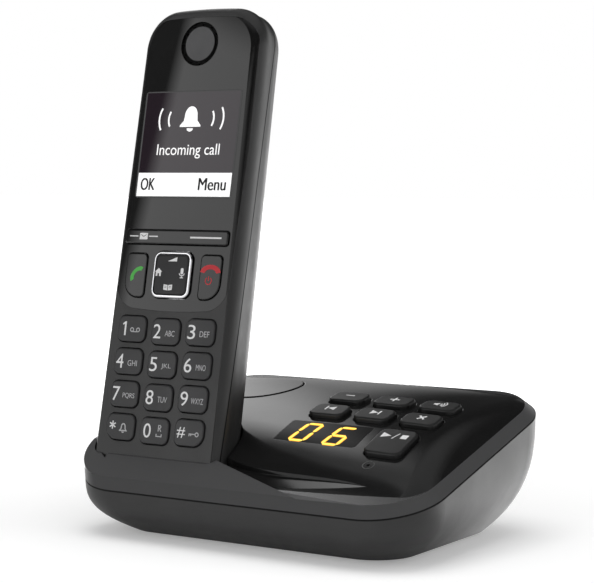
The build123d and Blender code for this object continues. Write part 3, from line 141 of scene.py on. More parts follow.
# ---- finishes
@dataclass(frozen=True)
class Border:
    """A plane by a point and a unit normal, where two mouldings part or a finish changes.

    The parting line is painted shade, dark as far as core from the plane, and gone from clear on.
    """

    point: Place
    normal: Place
    core: float = 0.14
    clear: float = 0.28

    def distance(self, canvas: Canvas) -> Socket:
        """Signed distance of the place from the plane, in metres: (place - point) . normal."""
        return canvas.vector("DOT_PRODUCT", canvas.away(self.point), self.normal)

    def line(self, canvas: Canvas) -> Socket:
        """Share of open surface beside the parting line, from 0 in it to 1 beside it."""
        distance = canvas.math("ABSOLUTE", self.distance(canvas))
        return canvas.ramp(distance, self.core * MM, self.clear * MM, 0.0, 1.0)


def rising(degrees: float) -> Place:
    """Unit normal of a plane that rises to the back."""
    return 0.0, -math.sin(math.radians(degrees)), math.cos(math.radians(degrees))


BASE_SEAM = Border((0.0, 0.0, 26.725), rising(15.4))
COLLAR_FACET = Border((0.0, -42.7, 18.28), rising(34.8))
HANDSET_SPLIT = Border((-34.1, -25.075, 50.436), (0.0, -0.9677, 0.2520))


def swell(canvas: Canvas, dome: float, normal: Socket | None = None) -> Socket:
    """Normal of the handset's swollen face: the height falls with the square of the way from its middle."""
    shares = (1 / (FACE_HALF[0] * MM), 0.0, 1 / (FACE_HALF[1] * MM))
    scaled = canvas.vector("MULTIPLY", canvas.away(FACE_MIDDLE), shares)
    height = canvas.math("SUBTRACT", 1.0, canvas.vector("DOT_PRODUCT", scaled, scaled))
    return canvas.bump(height, dome, normal)


@dataclass(frozen=True)
class Finish:
    """A finish that varies with the place on the object, with a name and a linear colour."""

    name: str
    colour: Colour

    def inputs(self, canvas: Canvas) -> dict[str, object]:
        """The shader's inputs at the place."""
        raise NotImplementedError

    def stained(self, canvas: Canvas, marks: Sequence[float], shares: Point, span: Point = (0, 1)) -> Socket:
        """The colour times the first share where noise is low in the span, to the second where it is high."""
        ramp = canvas.node("ValToRGB", {"Fac": canvas.noise(*marks)})
        for stop, share, position in zip(ramp.color_ramp.elements, shares, span):
            stop.color = (*(min(1.0, c * share) for c in self.colour), 1.0)
            stop.position = position
        return ramp.outputs["Color"]

    def make(self) -> bpy.types.Material:
        """Build the material."""
        material = bpy.data.materials.new(f"{self.name}_finish")
        canvas = Canvas(material)
        shader = canvas.node("BsdfPrincipled", self.inputs(canvas))
        canvas.node("OutputMaterial", {"Surface": shader.outputs[0]})
        return material


@dataclass(frozen=True)
class Moulded(Finish):
    """Moulded plastic: a pigment with faint flow marks, spark-eroded grain and a worn sheen.

    Attributes:
        roughness: mean roughness of the surface.
        wander: how far smudges move the roughness up and down.
        grain: depth of the grain.
        grain_size: its spacing.
        flow: share by which flow marks lighten and darken the pigment.
        edge: radius by which the shading rounds sharp edges.
        specular: strength of the dielectric reflection.
        seam: where the moulding parts from its neighbour, drawn as a line of painted shade.
        dome: height by which a flat face swells in its middle.
    """

    roughness: float
    wander: float
    grain: float
    grain_size: float
    flow: float
    edge: float
    specular: float = 0.5
    seam: Border | None = None
    dome: float = 0.0

    def relief(self, canvas: Canvas) -> Socket:
        """Height of the grain: fine noise whose spacing is grain_size."""
        return canvas.noise(1.0 / (self.grain_size * MM), 2.0, 0.6)

    def tint(self, canvas: Canvas) -> Socket:
        """Pigment: the colour times one plus or minus the flow share."""
        return self.stained(canvas, (55.0, 4.0, 0.6), (1 - self.flow, 1 + self.flow), NOISE_SPAN)

    def sheen(self, canvas: Canvas) -> Socket:
        """Roughness: the mean, moved up and down by smudges."""
        smudge = canvas.noise(38.0, 5.0, 0.65)
        low, high = max(0.02, self.roughness - self.wander), min(1.0, self.roughness + self.wander)
        return canvas.ramp(smudge, *NOISE_SPAN, low, high)

    def surface(self, canvas: Canvas) -> tuple[Socket, Socket]:
        """Pigment and roughness at the place."""
        return self.tint(canvas), self.sheen(canvas)

    def inputs(self, canvas: Canvas) -> dict[str, object]:
        """The surface, crossed by the seam's painted shade line, over rounded edges, the swell and the grain.
        """
        tint, roughness = self.surface(canvas)
        if self.seam is not None:
            # painted shade: the seam line is darkened to SHADE and made fully rough, standing for the shadow in
            # the gap between the shells
            beside = self.seam.line(canvas)
            tint = canvas.blend_colour(beside, SHADE, tint)
            roughness = canvas.blend(beside, 1.0, roughness)
        normal = canvas.node("Bevel", {"Radius": self.edge * MM}, samples=4).outputs[0]
        if self.dome:
            normal = swell(canvas, self.dome, normal)
        return {
            "Base Color": tint, "Roughness": roughness, "Specular IOR Level": self.specular,
            "Normal": canvas.bump(self.relief(canvas), self.grain, normal),
        }


@dataclass(frozen=True)
class Granular(Moulded):
    """Moulded plastic with a coarse pebble grain of rounded cells."""

    def relief(self, canvas: Canvas) -> Socket:
        """Height of the pebbles: it falls with the smoothed distance from the nearest cell centre."""
        inputs = {"Vector": canvas.place, "Scale": 1.0 / (self.grain_size * MM)}
        cells = canvas.node("TexVoronoi", inputs, feature="SMOOTH_F1")
        return canvas.math("SUBTRACT", 1.0, cells.outputs["Distance"])


@dataclass(frozen=True)
class Deck(Moulded):
    """Glossy moulding whose rim and collar facet keep a satin skin, coloured lighter than the housing's same
    satin as painted light from above.

    The rim ends between two heights over the parting line, the facet between two distances
    from its plane and two values of y.
    """

    rim: Point = (3.16, 3.24)
    facet: Point = (0.10, 0.16)
    facet_end: Point = (-30.0, -29.9)
    # painted light: this satin colour is about three times the housing's, standing for light from above on the
    # rim and facet
    satin: Colour = (0.056, 0.056, 0.057)
    satin_roughness: float = 0.40

    def surface(self, canvas: Canvas) -> tuple[Socket, Socket]:
        """Gloss over most of the deck; satin below the rim's edge and on the facet's plane, in a colour raised
        as painted light from above.
        """
        y = canvas.node("SeparateXYZ", {0: canvas.place}).outputs["Y"]
        off_facet = canvas.math("ABSOLUTE", COLLAR_FACET.distance(canvas))
        ends = ((BASE_SEAM.distance(canvas), self.rim), (off_facet, self.facet), (y, self.facet_end))
        rim, facet, forward = (canvas.ramp(way, low * MM, high * MM, 1.0, 0.0) for way, (low, high) in ends)
        satin = canvas.math("MAXIMUM", rim, canvas.math("MULTIPLY", facet, forward))
        # painted light: the rim and facet take the lightened satin colour
        tint = canvas.blend_colour(satin, self.tint(canvas), (*self.satin, 1.0))
        return tint, canvas.blend(satin, self.sheen(canvas), self.satin_roughness)


@dataclass(frozen=True)
class Earpiece(Moulded):
    """Cloth-grained disc in a groove painted near black as its shade.

    The disc's axis runs along Y through its middle, and heights are stretched to make it
    round, since the face leans. It ends between two radii.
    """

    middle: Place = (-34.1, 0.0, 148.5)
    stretch: float = 1.02
    radius: Point = (5.32, 5.42)

    def surface(self, canvas: Canvas) -> tuple[Socket, Socket]:
        """Grey inside the disc's radius, painted shade of the groove outside."""
        flat = canvas.vector("MULTIPLY", canvas.away(self.middle), (1.0, 0.0, self.stretch))
        low, high = self.radius
        groove = canvas.ramp(canvas.vector("LENGTH", flat), low * MM, high * MM, 0.0, 1.0)
        # painted shade: the groove is coloured near black and made fully rough, standing for the shade inside
        # it
        tint = canvas.blend_colour(groove, self.tint(canvas), GROOVE_SHADE)
        return tint, canvas.blend(groove, self.sheen(canvas), 1.0)


@dataclass(frozen=True)
class Metal(Finish):
    """Drawn or turned metal with stains and fine brush lines, whose spacing is brush."""

    roughness: float
    brush: float = 0.15

    def inputs(self, canvas: Canvas) -> dict[str, object]:
        """Noise drawn out along X makes the lines, and wide noise the stains."""
        drawn = canvas.node("Mapping", {"Vector": canvas.place, "Scale": (0.12, 1.0, 1.0)}).outputs[0]
        lines = canvas.noise(1.0 / (self.brush * MM), 2.0, vector=drawn)
        low, high = self.roughness * 0.8, min(1.0, self.roughness * 1.25)
        return {
            "Base Color": self.stained(canvas, (90.0, 4.0), (0.86, 1.0)), "Metallic": 1.0,
            "Roughness": canvas.ramp(lines, *NOISE_SPAN, low, high), "Normal": canvas.bump(lines, 0.002),
        }


@dataclass(frozen=True)
class Ink(Finish):
    """Printed ink, or a lit sign under glass.

    Attributes:
        glow: strength of the light given off.
        uneven: share by which the cover varies.
        roughness: roughness of the ink, or of the glass.
        dome: height by which the glass swells.
    """

    glow: float = 0.0
    uneven: float = 0.10
    roughness: float = 0.45
    dome: float = 0.0

    def inputs(self, canvas: Canvas) -> dict[str, object]:
        """Fine noise thins the ink; where it is lit, it shines in its own colour."""
        tint = self.stained(canvas, (1400.0, 2.0), (1 - self.uneven, 1.0))
        inputs = {"Base Color": tint, "Roughness": self.roughness, "Emission Strength": self.glow}
        if self.dome:
            inputs["Normal"] = swell(canvas, self.dome)
        if self.glow:
            inputs["Emission Color"] = tint
        return inputs


@dataclass(frozen=True)
class Laminate(Finish):
    """Circuit board laminate: green lacquer over straight tracks of the colour copper."""

    copper: Colour

    def inputs(self, canvas: Canvas) -> dict[str, object]:
        """The tracks are the joints of a brick pattern."""
        shades = {"Color1": (*self.colour, 1.0), "Color2": (*(c * 0.8 for c in self.colour), 1.0)}
        joints = {"Vector": canvas.place, "Scale": 260.0, "Mortar": (*self.copper, 1.0), "Mortar Size": 0.03}
        tracks = canvas.node("TexBrick", shades | joints)
        return {"Base Color": tracks.outputs["Color"], "Roughness": 0.35}


def grey(level: float, blue: float | None = None) -> Colour:
    """A grey, whose blue may differ a little."""
    return level, level, level if blue is None else blue


class Look(Enum):
    """Every finish of the object."""

    DECK_GLOSS = Deck("deck_gloss_black", grey(0.007), 0.12, 0.03, 0.0006, 0.5, 0.15, 0.35, seam=BASE_SEAM)
    HOUSING = Moulded("housing_satin_grey", grey(0.020), 0.42, 0.04, 0.006, 0.20, 0.10, 0.3, seam=BASE_SEAM)
    DECK_KEY = Moulded("deck_key_black", grey(0.010), 0.42, 0.05, 0.014, 0.30, 0.12, 0.3)
    FACE_KEY = Moulded("number_key_grey", grey(0.030, 0.031), 0.42, 0.05, 0.010, 0.24, 0.12, 0.2)
    SHELL = Moulded("handset_satin", grey(0.024), 0.38, 0.04, 0.005, 0.22, 0.10, 0.25, seam=HANDSET_SPLIT)
    PLATE = Moulded("faceplate_gloss", grey(0.007), 0.006, 0.01, 0.0003, 0.5, 0.12, 0.2, dome=0.35)
    EARPIECE = Earpiece("earpiece_grey", grey(0.075, 0.077), 0.50, 0.04, 0.020, 0.30, 0.15, 0.15)
    NAV_PAD = Granular("navigation_pebble", grey(0.020, 0.021), 0.50, 0.05, 0.030, 0.34, 0.15, 0.2)
    WINDOW = Moulded("display_window_black", grey(0.004), 0.10, 0.02, 0.0004, 0.5, 0.10, 0.05, specular=0.05)
    SCREEN = Moulded("screen_black", grey(0.006, 0.007), 0.06, 0.02, 0.0004, 0.5, 0.10, 0.05)
    FOOT = Moulded("foot_rubber", grey(0.018), 0.75, 0.08, 0.020, 0.30, 0.20, 0.2)
    MAT = Moulded("silicone_mat", (0.22, 0.23, 0.24), 0.60, 0.06, 0.008, 0.40, 0.08, 0.2)
    SOCKET = Moulded("socket_black", grey(0.016, 0.017), 0.45, 0.05, 0.006, 0.25, 0.10, 0.15)
    CELL_WRAP = Moulded("cell_wrap_blue", (0.02, 0.07, 0.22), 0.30, 0.06, 0.003, 0.8, 0.10, 0.3)
    LED_BLOCK = Moulded("digit_block_grey", grey(0.10), 0.50, 0.05, 0.004, 0.3, 0.08, 0.1)
    RING = Metal("ring_silver", grey(0.80, 0.82), 0.16, 0.3)
    SCREW = Metal("screw_steel", grey(0.58, 0.60), 0.34)
    COMPONENT = Metal("component_metal", grey(0.62, 0.63), 0.40)
    CONTACT = Metal("contact_gold", (0.90, 0.66, 0.28), 0.26)
    BOARD = Laminate("board_green", (0.010, 0.085, 0.030), (0.32, 0.26, 0.06))
    WHITE_INK = Ink("legend_white", grey(0.78))
    PALE_INK = Ink("legend_pale", grey(0.46, 0.47))
    GREEN_INK = Ink("legend_green", (0.075, 0.42, 0.070))
    RED_INK = Ink("legend_red", (0.50, 0.022, 0.030))
    DARK_INK = Ink("legend_dark", grey(0.020, 0.021))
    AMBER = Ink("digit_amber", (0.80, 0.36, 0.015), 0.75, 0.06)
    YELLOW = Ink("digit_yellow", (1.0, 0.74, 0.11), 1.0, 0.05)
    MARK_INK = Ink("legend_dim", grey(0.060))
    SCREEN_FIELD = Ink("screen_plum", (0.012, 0.007, 0.011), 0.5, 0.35, 0.03, 0.35)
    SCREEN_WHITE = Ink("screen_white", grey(0.90), 0.40, 0.03, 0.15, 0.35)

    def material(self) -> bpy.types.Material:
        """The finish's material, made the first time that it is asked for."""
        if self not in MADE:
            MADE[self] = self.value.make()
        return MADE[self]


MADE: dict[Look, bpy.types.Material] = {}
DECK_KEYS = "skip_back_key skip_forward_key delete_key volume_down_key volume_up_key speaker_key"
NODE_LOOKS = {
    Look.DECK_GLOSS: "upper_shell page_button",
    Look.HOUSING: "lower_shell",
    Look.DECK_KEY: DECK_KEYS + " play_stop_key",
    Look.FACE_KEY: " ".join(f"key_{name}" for name in (*"1234567890", "star", "hash")),
    Look.SHELL: "front_shell rear_shell battery_cover",
    Look.PLATE: "faceplate soft_key_bar talk_key end_key",
    Look.EARPIECE: "earpiece_cover",
    Look.NAV_PAD: "navigation_key",
    Look.RING: "navigation_ring",
    Look.WINDOW: "display_window",
    Look.SCREEN: "screen_lens display_module",
    Look.FOOT: "rubber_feet",
    Look.MAT: "key_mat keypad_mat",
    Look.SOCKET: "line_socket power_socket",
    Look.CELL_WRAP: "battery_cells",
    Look.LED_BLOCK: "digit_display",
    Look.SCREW: "base_screws",
    Look.COMPONENT: "base_microphone base_loudspeaker receiver_capsule ringer handset_microphone",
    Look.CONTACT: "charging_contacts battery_contacts handset_contacts",
    Look.BOARD: "circuit_board handset_board",
}


# ---- flat outlines
@dataclass
class Drawing:
    """Flat shapes in millimetres, each an outer loop of points followed by the loops of its holes."""

    shapes: list[list[Loop]] = field(default_factory=list)

    def __add__(self, other: Drawing) -> Drawing:
        """Both drawings' shapes together."""
        return Drawing(self.shapes + other.shapes)

    def cut(self, other: Drawing) -> Drawing:
        """The first shape with the other drawing's outlines as holes."""
        return Drawing([self.shapes[0] + [shape[0][::-1] for shape in other.shapes]])

    def moved(self, u: float = 0.0, v: float = 0.0, degrees: float = 0.0, size: float = 1.0) -> Drawing:
        """Each point p becomes size times R p plus (u, v), with R a turn by degrees about the middle."""
        angle = math.radians(degrees)
        turn = size * np.array([[math.cos(angle), -math.sin(angle)], [math.sin(angle), math.cos(angle)]])
        return Drawing([[loop @ turn.T + np.array([u, v]) for loop in shape] for shape in self.shapes])

    def mirrored(self) -> Drawing:
        """Left and right exchanged."""
        return Drawing([[loop[::-1] * FLIP for loop in shape] for shape in self.shapes])


def arc(centre: Point, radius_u: float, radius_v: float, start: float = 0.0, end: float = 360.0) -> Loop:
    """Points centre plus (radius_u cos t, radius_v sin t), with t from start to end in degrees."""
    count = max(8, int(abs(end - start) / DEGREES_PER_POINT))
    angle = np.radians(np.linspace(start, end, count, endpoint=abs(end - start) < 360))
    return np.column_stack([centre[0] + radius_u * np.cos(angle), centre[1] + radius_v * np.sin(angle)])


def ring(centre: Point, outer: float, inner: float) -> Drawing:
    """A disc with a round hole."""
    return Drawing([[arc(centre, outer, outer), arc(centre, inner, inner)[::-1]]])


def band(centre: Point, radius: float, width: float, start: float, end: float) -> Drawing:
    """Band of a given width that follows an arc, square at its ends."""
    outer, inner = (arc(centre, reach, reach, start, end) for reach in (radius + width / 2, radius - width / 2))
    return Drawing([[np.vstack([outer, inner[::-1]])]])


def polygon(*points: Point) -> Drawing:
    """A plain polygon through the points."""
    return Drawing([[np.array(points, float)]])


def stroke(width: float, *points: Point) -> Drawing:
    """Line of a width through the points: each point moves half the width along the mitre of its two runs."""
    path = np.array(points, float)
    runs = np.diff(path, axis=0)
    runs /= np.linalg.norm(runs, axis=1, keepdims=True)
    sides = np.column_stack([-runs[:, 1], runs[:, 0]])
    before, after = np.vstack([sides[:1], sides]), np.vstack([sides, sides[-1:]])
    mitre = (before + after) / (1.0 + np.sum(before * after, axis=1, keepdims=True)) * width / 2
    return Drawing([[np.vstack([path - mitre, (path + mitre)[::-1]])]])


def box(centre: Point, width: float, height: float, corner: float = 0.001) -> Drawing:
    """Rectangle whose four corners are quarter circles of the corner radius."""
    u, v = width / 2 - corner, height / 2 - corner
    middles = ((u, v), (-u, v), (-u, -v), (u, -v))
    return Drawing([[np.vstack([
        arc((centre[0] + middle[0], centre[1] + middle[1]), corner, corner, 90 * turn, 90 * turn + 90)
        for turn, middle in enumerate(middles)
    ])]])


# ---- signs
def bell_outline(grow: float) -> Loop:
    """A bell's dome, flanks and rim, grown all round: half an ellipse over two flaring sides."""
    dome = arc((0, 0.10), 0.30 + grow, 0.36 + grow, 0, 180)
    left = np.array([(-0.33 - grow, -0.12), (-0.50 - grow, -0.30), (-0.50 - grow, -0.36 - grow)])
    return np.vstack([dome, left, left[::-1] * FLIP])


class Sign:
    """Generic signs, each drawn about its own middle in millimetres."""

    MINUS = stroke(0.55, (-1.5, 0), (1.5, 0))
    PLUS = polygon(
        (-1.6, -0.3), (-0.3, -0.3), (-0.3, -1.6), (0.3, -1.6), (0.3, -0.3), (1.6, -0.3),
        (1.6, 0.3), (0.3, 0.3), (0.3, 1.6), (-0.3, 1.6), (-0.3, 0.3), (-1.6, 0.3),
    )
    CROSS = PLUS.moved(degrees=45)
    CONE = polygon((-2.3, -0.5), (-1.6, -0.5), (-0.7, -1.2), (-0.7, 1.2), (-1.6, 0.5), (-2.3, 0.5))
    SPEAKER = sum((band((-0.7, 0), radius, 0.36, -48, 48) for radius in (1.0, 1.8, 2.6)), CONE)
    SKIP_FORWARD = polygon((-1.6, -1.3), (0.9, 0), (-1.6, 1.3)) + box((1.35, 0), 0.55, 2.6)
    SKIP_BACK = SKIP_FORWARD.mirrored()
    TRIANGLE = polygon((-4.4, -1.35), (-1.3, 0), (-4.4, 1.35))
    PLAY_STOP = TRIANGLE + stroke(0.32, (-0.5, -1.5), (0.8, 1.6)) + box((3.0, 0), 2.1, 2.1)
    BELL = Drawing([[bell_outline(0.0)], [arc((0, -0.42), 0.15, 0.13, 180, 360)]])
    OPEN_BELL = Drawing([
        [bell_outline(0.0), bell_outline(-0.13)[::-1]], [arc((0, -0.40), 0.16, 0.14, 180, 360)],
    ])
    GRIP_END = np.array([(3.85, -1.25), (2.2, -1.55)])
    RECEIVER = Drawing([[np.vstack([
        arc((0, -1.2), 3.7, 2.3, 168, 12), GRIP_END,
        arc((0, -1.75), 2.15, 1.45, 22, 158), GRIP_END[::-1] * FLIP,
    ])]])
    POWER = band((0, 0), 1.1, 0.3, 125, 415) + stroke(0.3, (0, 0.0), (0, 1.35))
    LOOPS = ring((-1.15, 0), 0.72, 0.42) + ring((1.15, 0), 0.72, 0.42)
    VOICEMAIL = LOOPS + stroke(0.28, (-1.15, -0.6), (1.15, -0.6))
    BOWL = band((0.0, 0.45), 0.42, 0.26, -90, 90) + stroke(0.26, (-0.5, 0.87), (0.02, 0.87))
    LETTER_R = (
        stroke(0.28, (-0.45, -0.95), (-0.45, 1.0)) + BOWL
        + stroke(0.26, (-0.5, 0.03), (0.02, 0.03)) + stroke(0.28, (-0.05, 0.03), (0.55, -0.95))
    )
    OPEN_BOX = stroke(0.3, (-0.95, -0.75), (-0.95, -1.5), (0.95, -1.5), (0.95, -0.75))
    RECALL_SPACE = LETTER_R.moved(0.1, 0.95) + OPEN_BOX
    TEETH = stroke(0.32, (-1.6, 0.0), (-1.6, -0.6)) + stroke(0.32, (-0.95, 0.0), (-0.95, -0.5))
    LOCK_KEY = ring((1.15, 0), 0.72, 0.40) + stroke(0.32, (-1.75, 0.05), (0.55, 0.05)) + TEETH
    SPOKE = stroke(0.42, (0.0, -1.25), (0.0, 1.25))
    STAR = SPOKE + SPOKE.moved(degrees=60) + SPOKE.moved(degrees=120)
    ONE = polygon(
        (-0.05, -2.15), (0.55, -2.15), (0.55, 2.15), (0.10, 2.15), (-0.85, 1.45), (-0.65, 1.02), (-0.05, 1.42),
    )
    WEDGE = polygon((-1.7, -0.6), (1.7, -0.6), (1.7, 0.75))
    HOUSE = polygon(
        (-1.35, 0.1), (-0.95, 0.1), (-0.95, -1.2), (-0.32, -1.2), (-0.32, -0.35), (0.32, -0.35), (0.32, -1.2),
        (0.95, -1.2), (0.95, 0.1), (1.35, 0.1), (0, 1.25),
    )
    YOKE = band((0, 0.2), 1.0, 0.26, 195, 345) + stroke(0.26, (0, -0.7), (0, -1.3))
    MICROPHONE = box((0, 0.6), 1.05, 1.9, 0.5) + YOKE + stroke(0.28, (-0.6, -1.4), (0.6, -1.4))
    LINES = box((-0.85, 0.25), 0.9, 0.14) + box((-0.85, -0.2), 0.9, 0.14)
    LEAF = polygon((-1.6, 0.85), (-0.12, 0.65), (-0.12, -1.0), (-1.6, -0.8)).cut(LINES)
    BOOK = LEAF + LEAF.mirrored()
    ENVELOPE = box((0, 0), 3.0, 2.0, 0.1).cut(stroke(0.2, (-1.0, 0.55), (0.0, -0.15), (1.0, 0.55)))


# ---- meshes
@dataclass
class Solid:
    """Points in millimetres, one row each, and faces of vertex numbers, of a mesh that is being gathered."""

    points: np.ndarray = field(default_factory=lambda: np.zeros((0, 3)))
    faces: list[tuple[int, ...]] = field(default_factory=list)

    def add(self, other: Solid) -> None:
        """Append another solid's points and faces."""
        start = len(self.points)
        self.points = np.vstack([self.points, other.points])
        self.faces += [tuple(start + index for index in face) for face in other.faces]

    @classmethod
    def from_curve(cls, curve: bpy.types.Curve) -> Solid:
        """Read the filled and thickened form of a flat curve or text, and remove the object and mesh made for
        it.
        """
        holder = bpy.data.objects.new("outline", curve)
        mesh = bpy.data.meshes.new_from_object(holder)
        points = np.zeros(len(mesh.vertices) * 3)
        mesh.vertices.foreach_get("co", points)
        faces = [tuple(face.vertices) for face in mesh.polygons]
        bpy.data.objects.remove(holder)
        bpy.data.meshes.remove(mesh)
        return cls(points.reshape(-1, 3), faces)

    @classmethod
    def sheet(cls, drawing: Drawing, thickness: float) -> Solid:
        """Fill each shape of a drawing by itself, with half the thickness to each side of the plane."""
        made = cls()
        for shape in drawing.shapes:
            curve = bpy.data.curves.new("outline", "CURVE")
            curve.dimensions = "2D"
            curve.fill_mode = "BOTH"
            curve.extrude = thickness / 2
            for loop in shape:
                spline = curve.splines.new("POLY")
                spline.points.add(len(loop) - 1)
                padded = np.column_stack([loop, np.zeros(len(loop)), np.ones(len(loop))])
                spline.points.foreach_set("co", padded.astype(np.float32).ravel())
                spline.use_cyclic_u = True
            made.add(cls.from_curve(curve))
        return made

    @classmethod
    def lettering(cls, body: str, centre: Point, height: float, width: float, thickness: float) -> Solid:
        """Generic letters or digits, scaled to a height, a width and a thickness about a centre."""
        text = bpy.data.curves.new("lettering", "FONT")
        text.body = body
        text.size = 1.0
        text.extrude = 0.5
        text.resolution_u = 5
        made = cls.from_curve(text)
        low, high = made.points.min(0), made.points.max(0)
        factor = np.array([width, height, thickness]) / (high - low)
        made.points = (made.points - (low + high) / 2) * factor + np.array([*centre, 0.0])
        return made

    @classmethod
    def grid(cls, points: np.ndarray, closed: bool = False) -> Solid:
        """Quads between rows and columns of points; where it is closed, the last column joins the first."""
        rows, columns = points.shape[:2]
        index = np.arange(rows * columns).reshape(rows, columns)
        if closed:
            index = np.column_stack([index, index[:, 0]])
        quads = np.stack([index[:-1, :-1], index[:-1, 1:], index[1:, 1:], index[1:, :-1]], axis=-1)
        return cls(points.reshape(-1, 3), [tuple(quad) for quad in quads.reshape(-1, 4).tolist()])

    @classmethod
    def sweep(cls, path: np.ndarray, radius: float, sides: int = 8) -> Solid:
        """Round wire with closed ends: a circle of the radius stands square to the path at each point."""
        run = np.gradient(path, axis=0)
        run /= np.linalg.norm(run, axis=1, keepdims=True)
        first = np.cross(run, np.array([1.0, 0.0, 0.0]))
        first /= np.linalg.norm(first, axis=1, keepdims=True)
        second = np.cross(run, first)
        angle = np.linspace(0, 2 * np.pi, sides, endpoint=False)
        circle = np.cos(angle)[None, :, None] * first[:, None] + np.sin(angle)[None, :, None] * second[:, None]
        made = cls.grid(path[:, None] + radius * circle, closed=True)
        made.faces += [tuple(range(sides))[::-1], tuple(range(len(path) * sides - sides, len(path) * sides))]
        return made


@dataclass(frozen=True)
class Bench:
    """A flat working plane on the object: an origin in millimetres and two directions in it."""

    origin: Place
    right: Place
    up: Place

    def put(self, solid: Solid, lift: float = 0.0) -> Solid:
        """Move a flat solid onto the plane: origin + u right + v up + (w + lift) normal."""
        axes = np.array([self.right, self.up, np.cross(self.right, self.up)])
        axes /= np.linalg.norm(axes, axis=1, keepdims=True)
        raised = solid.points + np.array([0.0, 0.0, lift])
        return Solid(np.array(self.origin) + raised @ axes, solid.faces)


def add_object(name: str, data: bpy.types.ID) -> bpy.types.Object:
    """Put an object with this data into the scene."""
    made = bpy.data.objects.new(name, data)
    bpy.context.scene.collection.objects.link(made)
    return made


def piece(name: str, solid: Solid, look: Look, body: str, smooth: bool = False) -> None:
    """Make a piece of the object from a gathered solid.

    Args:
        name: the piece's name.
        solid: its points in millimetres, already in place, and its faces.
        look: its finish.
        body: the body that it rides on.
        smooth: whether its faces are shaded smooth.
    """
    mesh = bpy.data.meshes.new(name)
    mesh.from_pydata(solid.points * MM, [], solid.faces)
    mesh.polygons.foreach_set("use_smooth", np.full(len(mesh.polygons), smooth))
    mesh.materials.append(look.material())
    mesh.update()
    made = add_object(name, mesh)
    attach(made, body)
    LOG.info("%s: %d faces on %s", name, len(mesh.polygons), body)


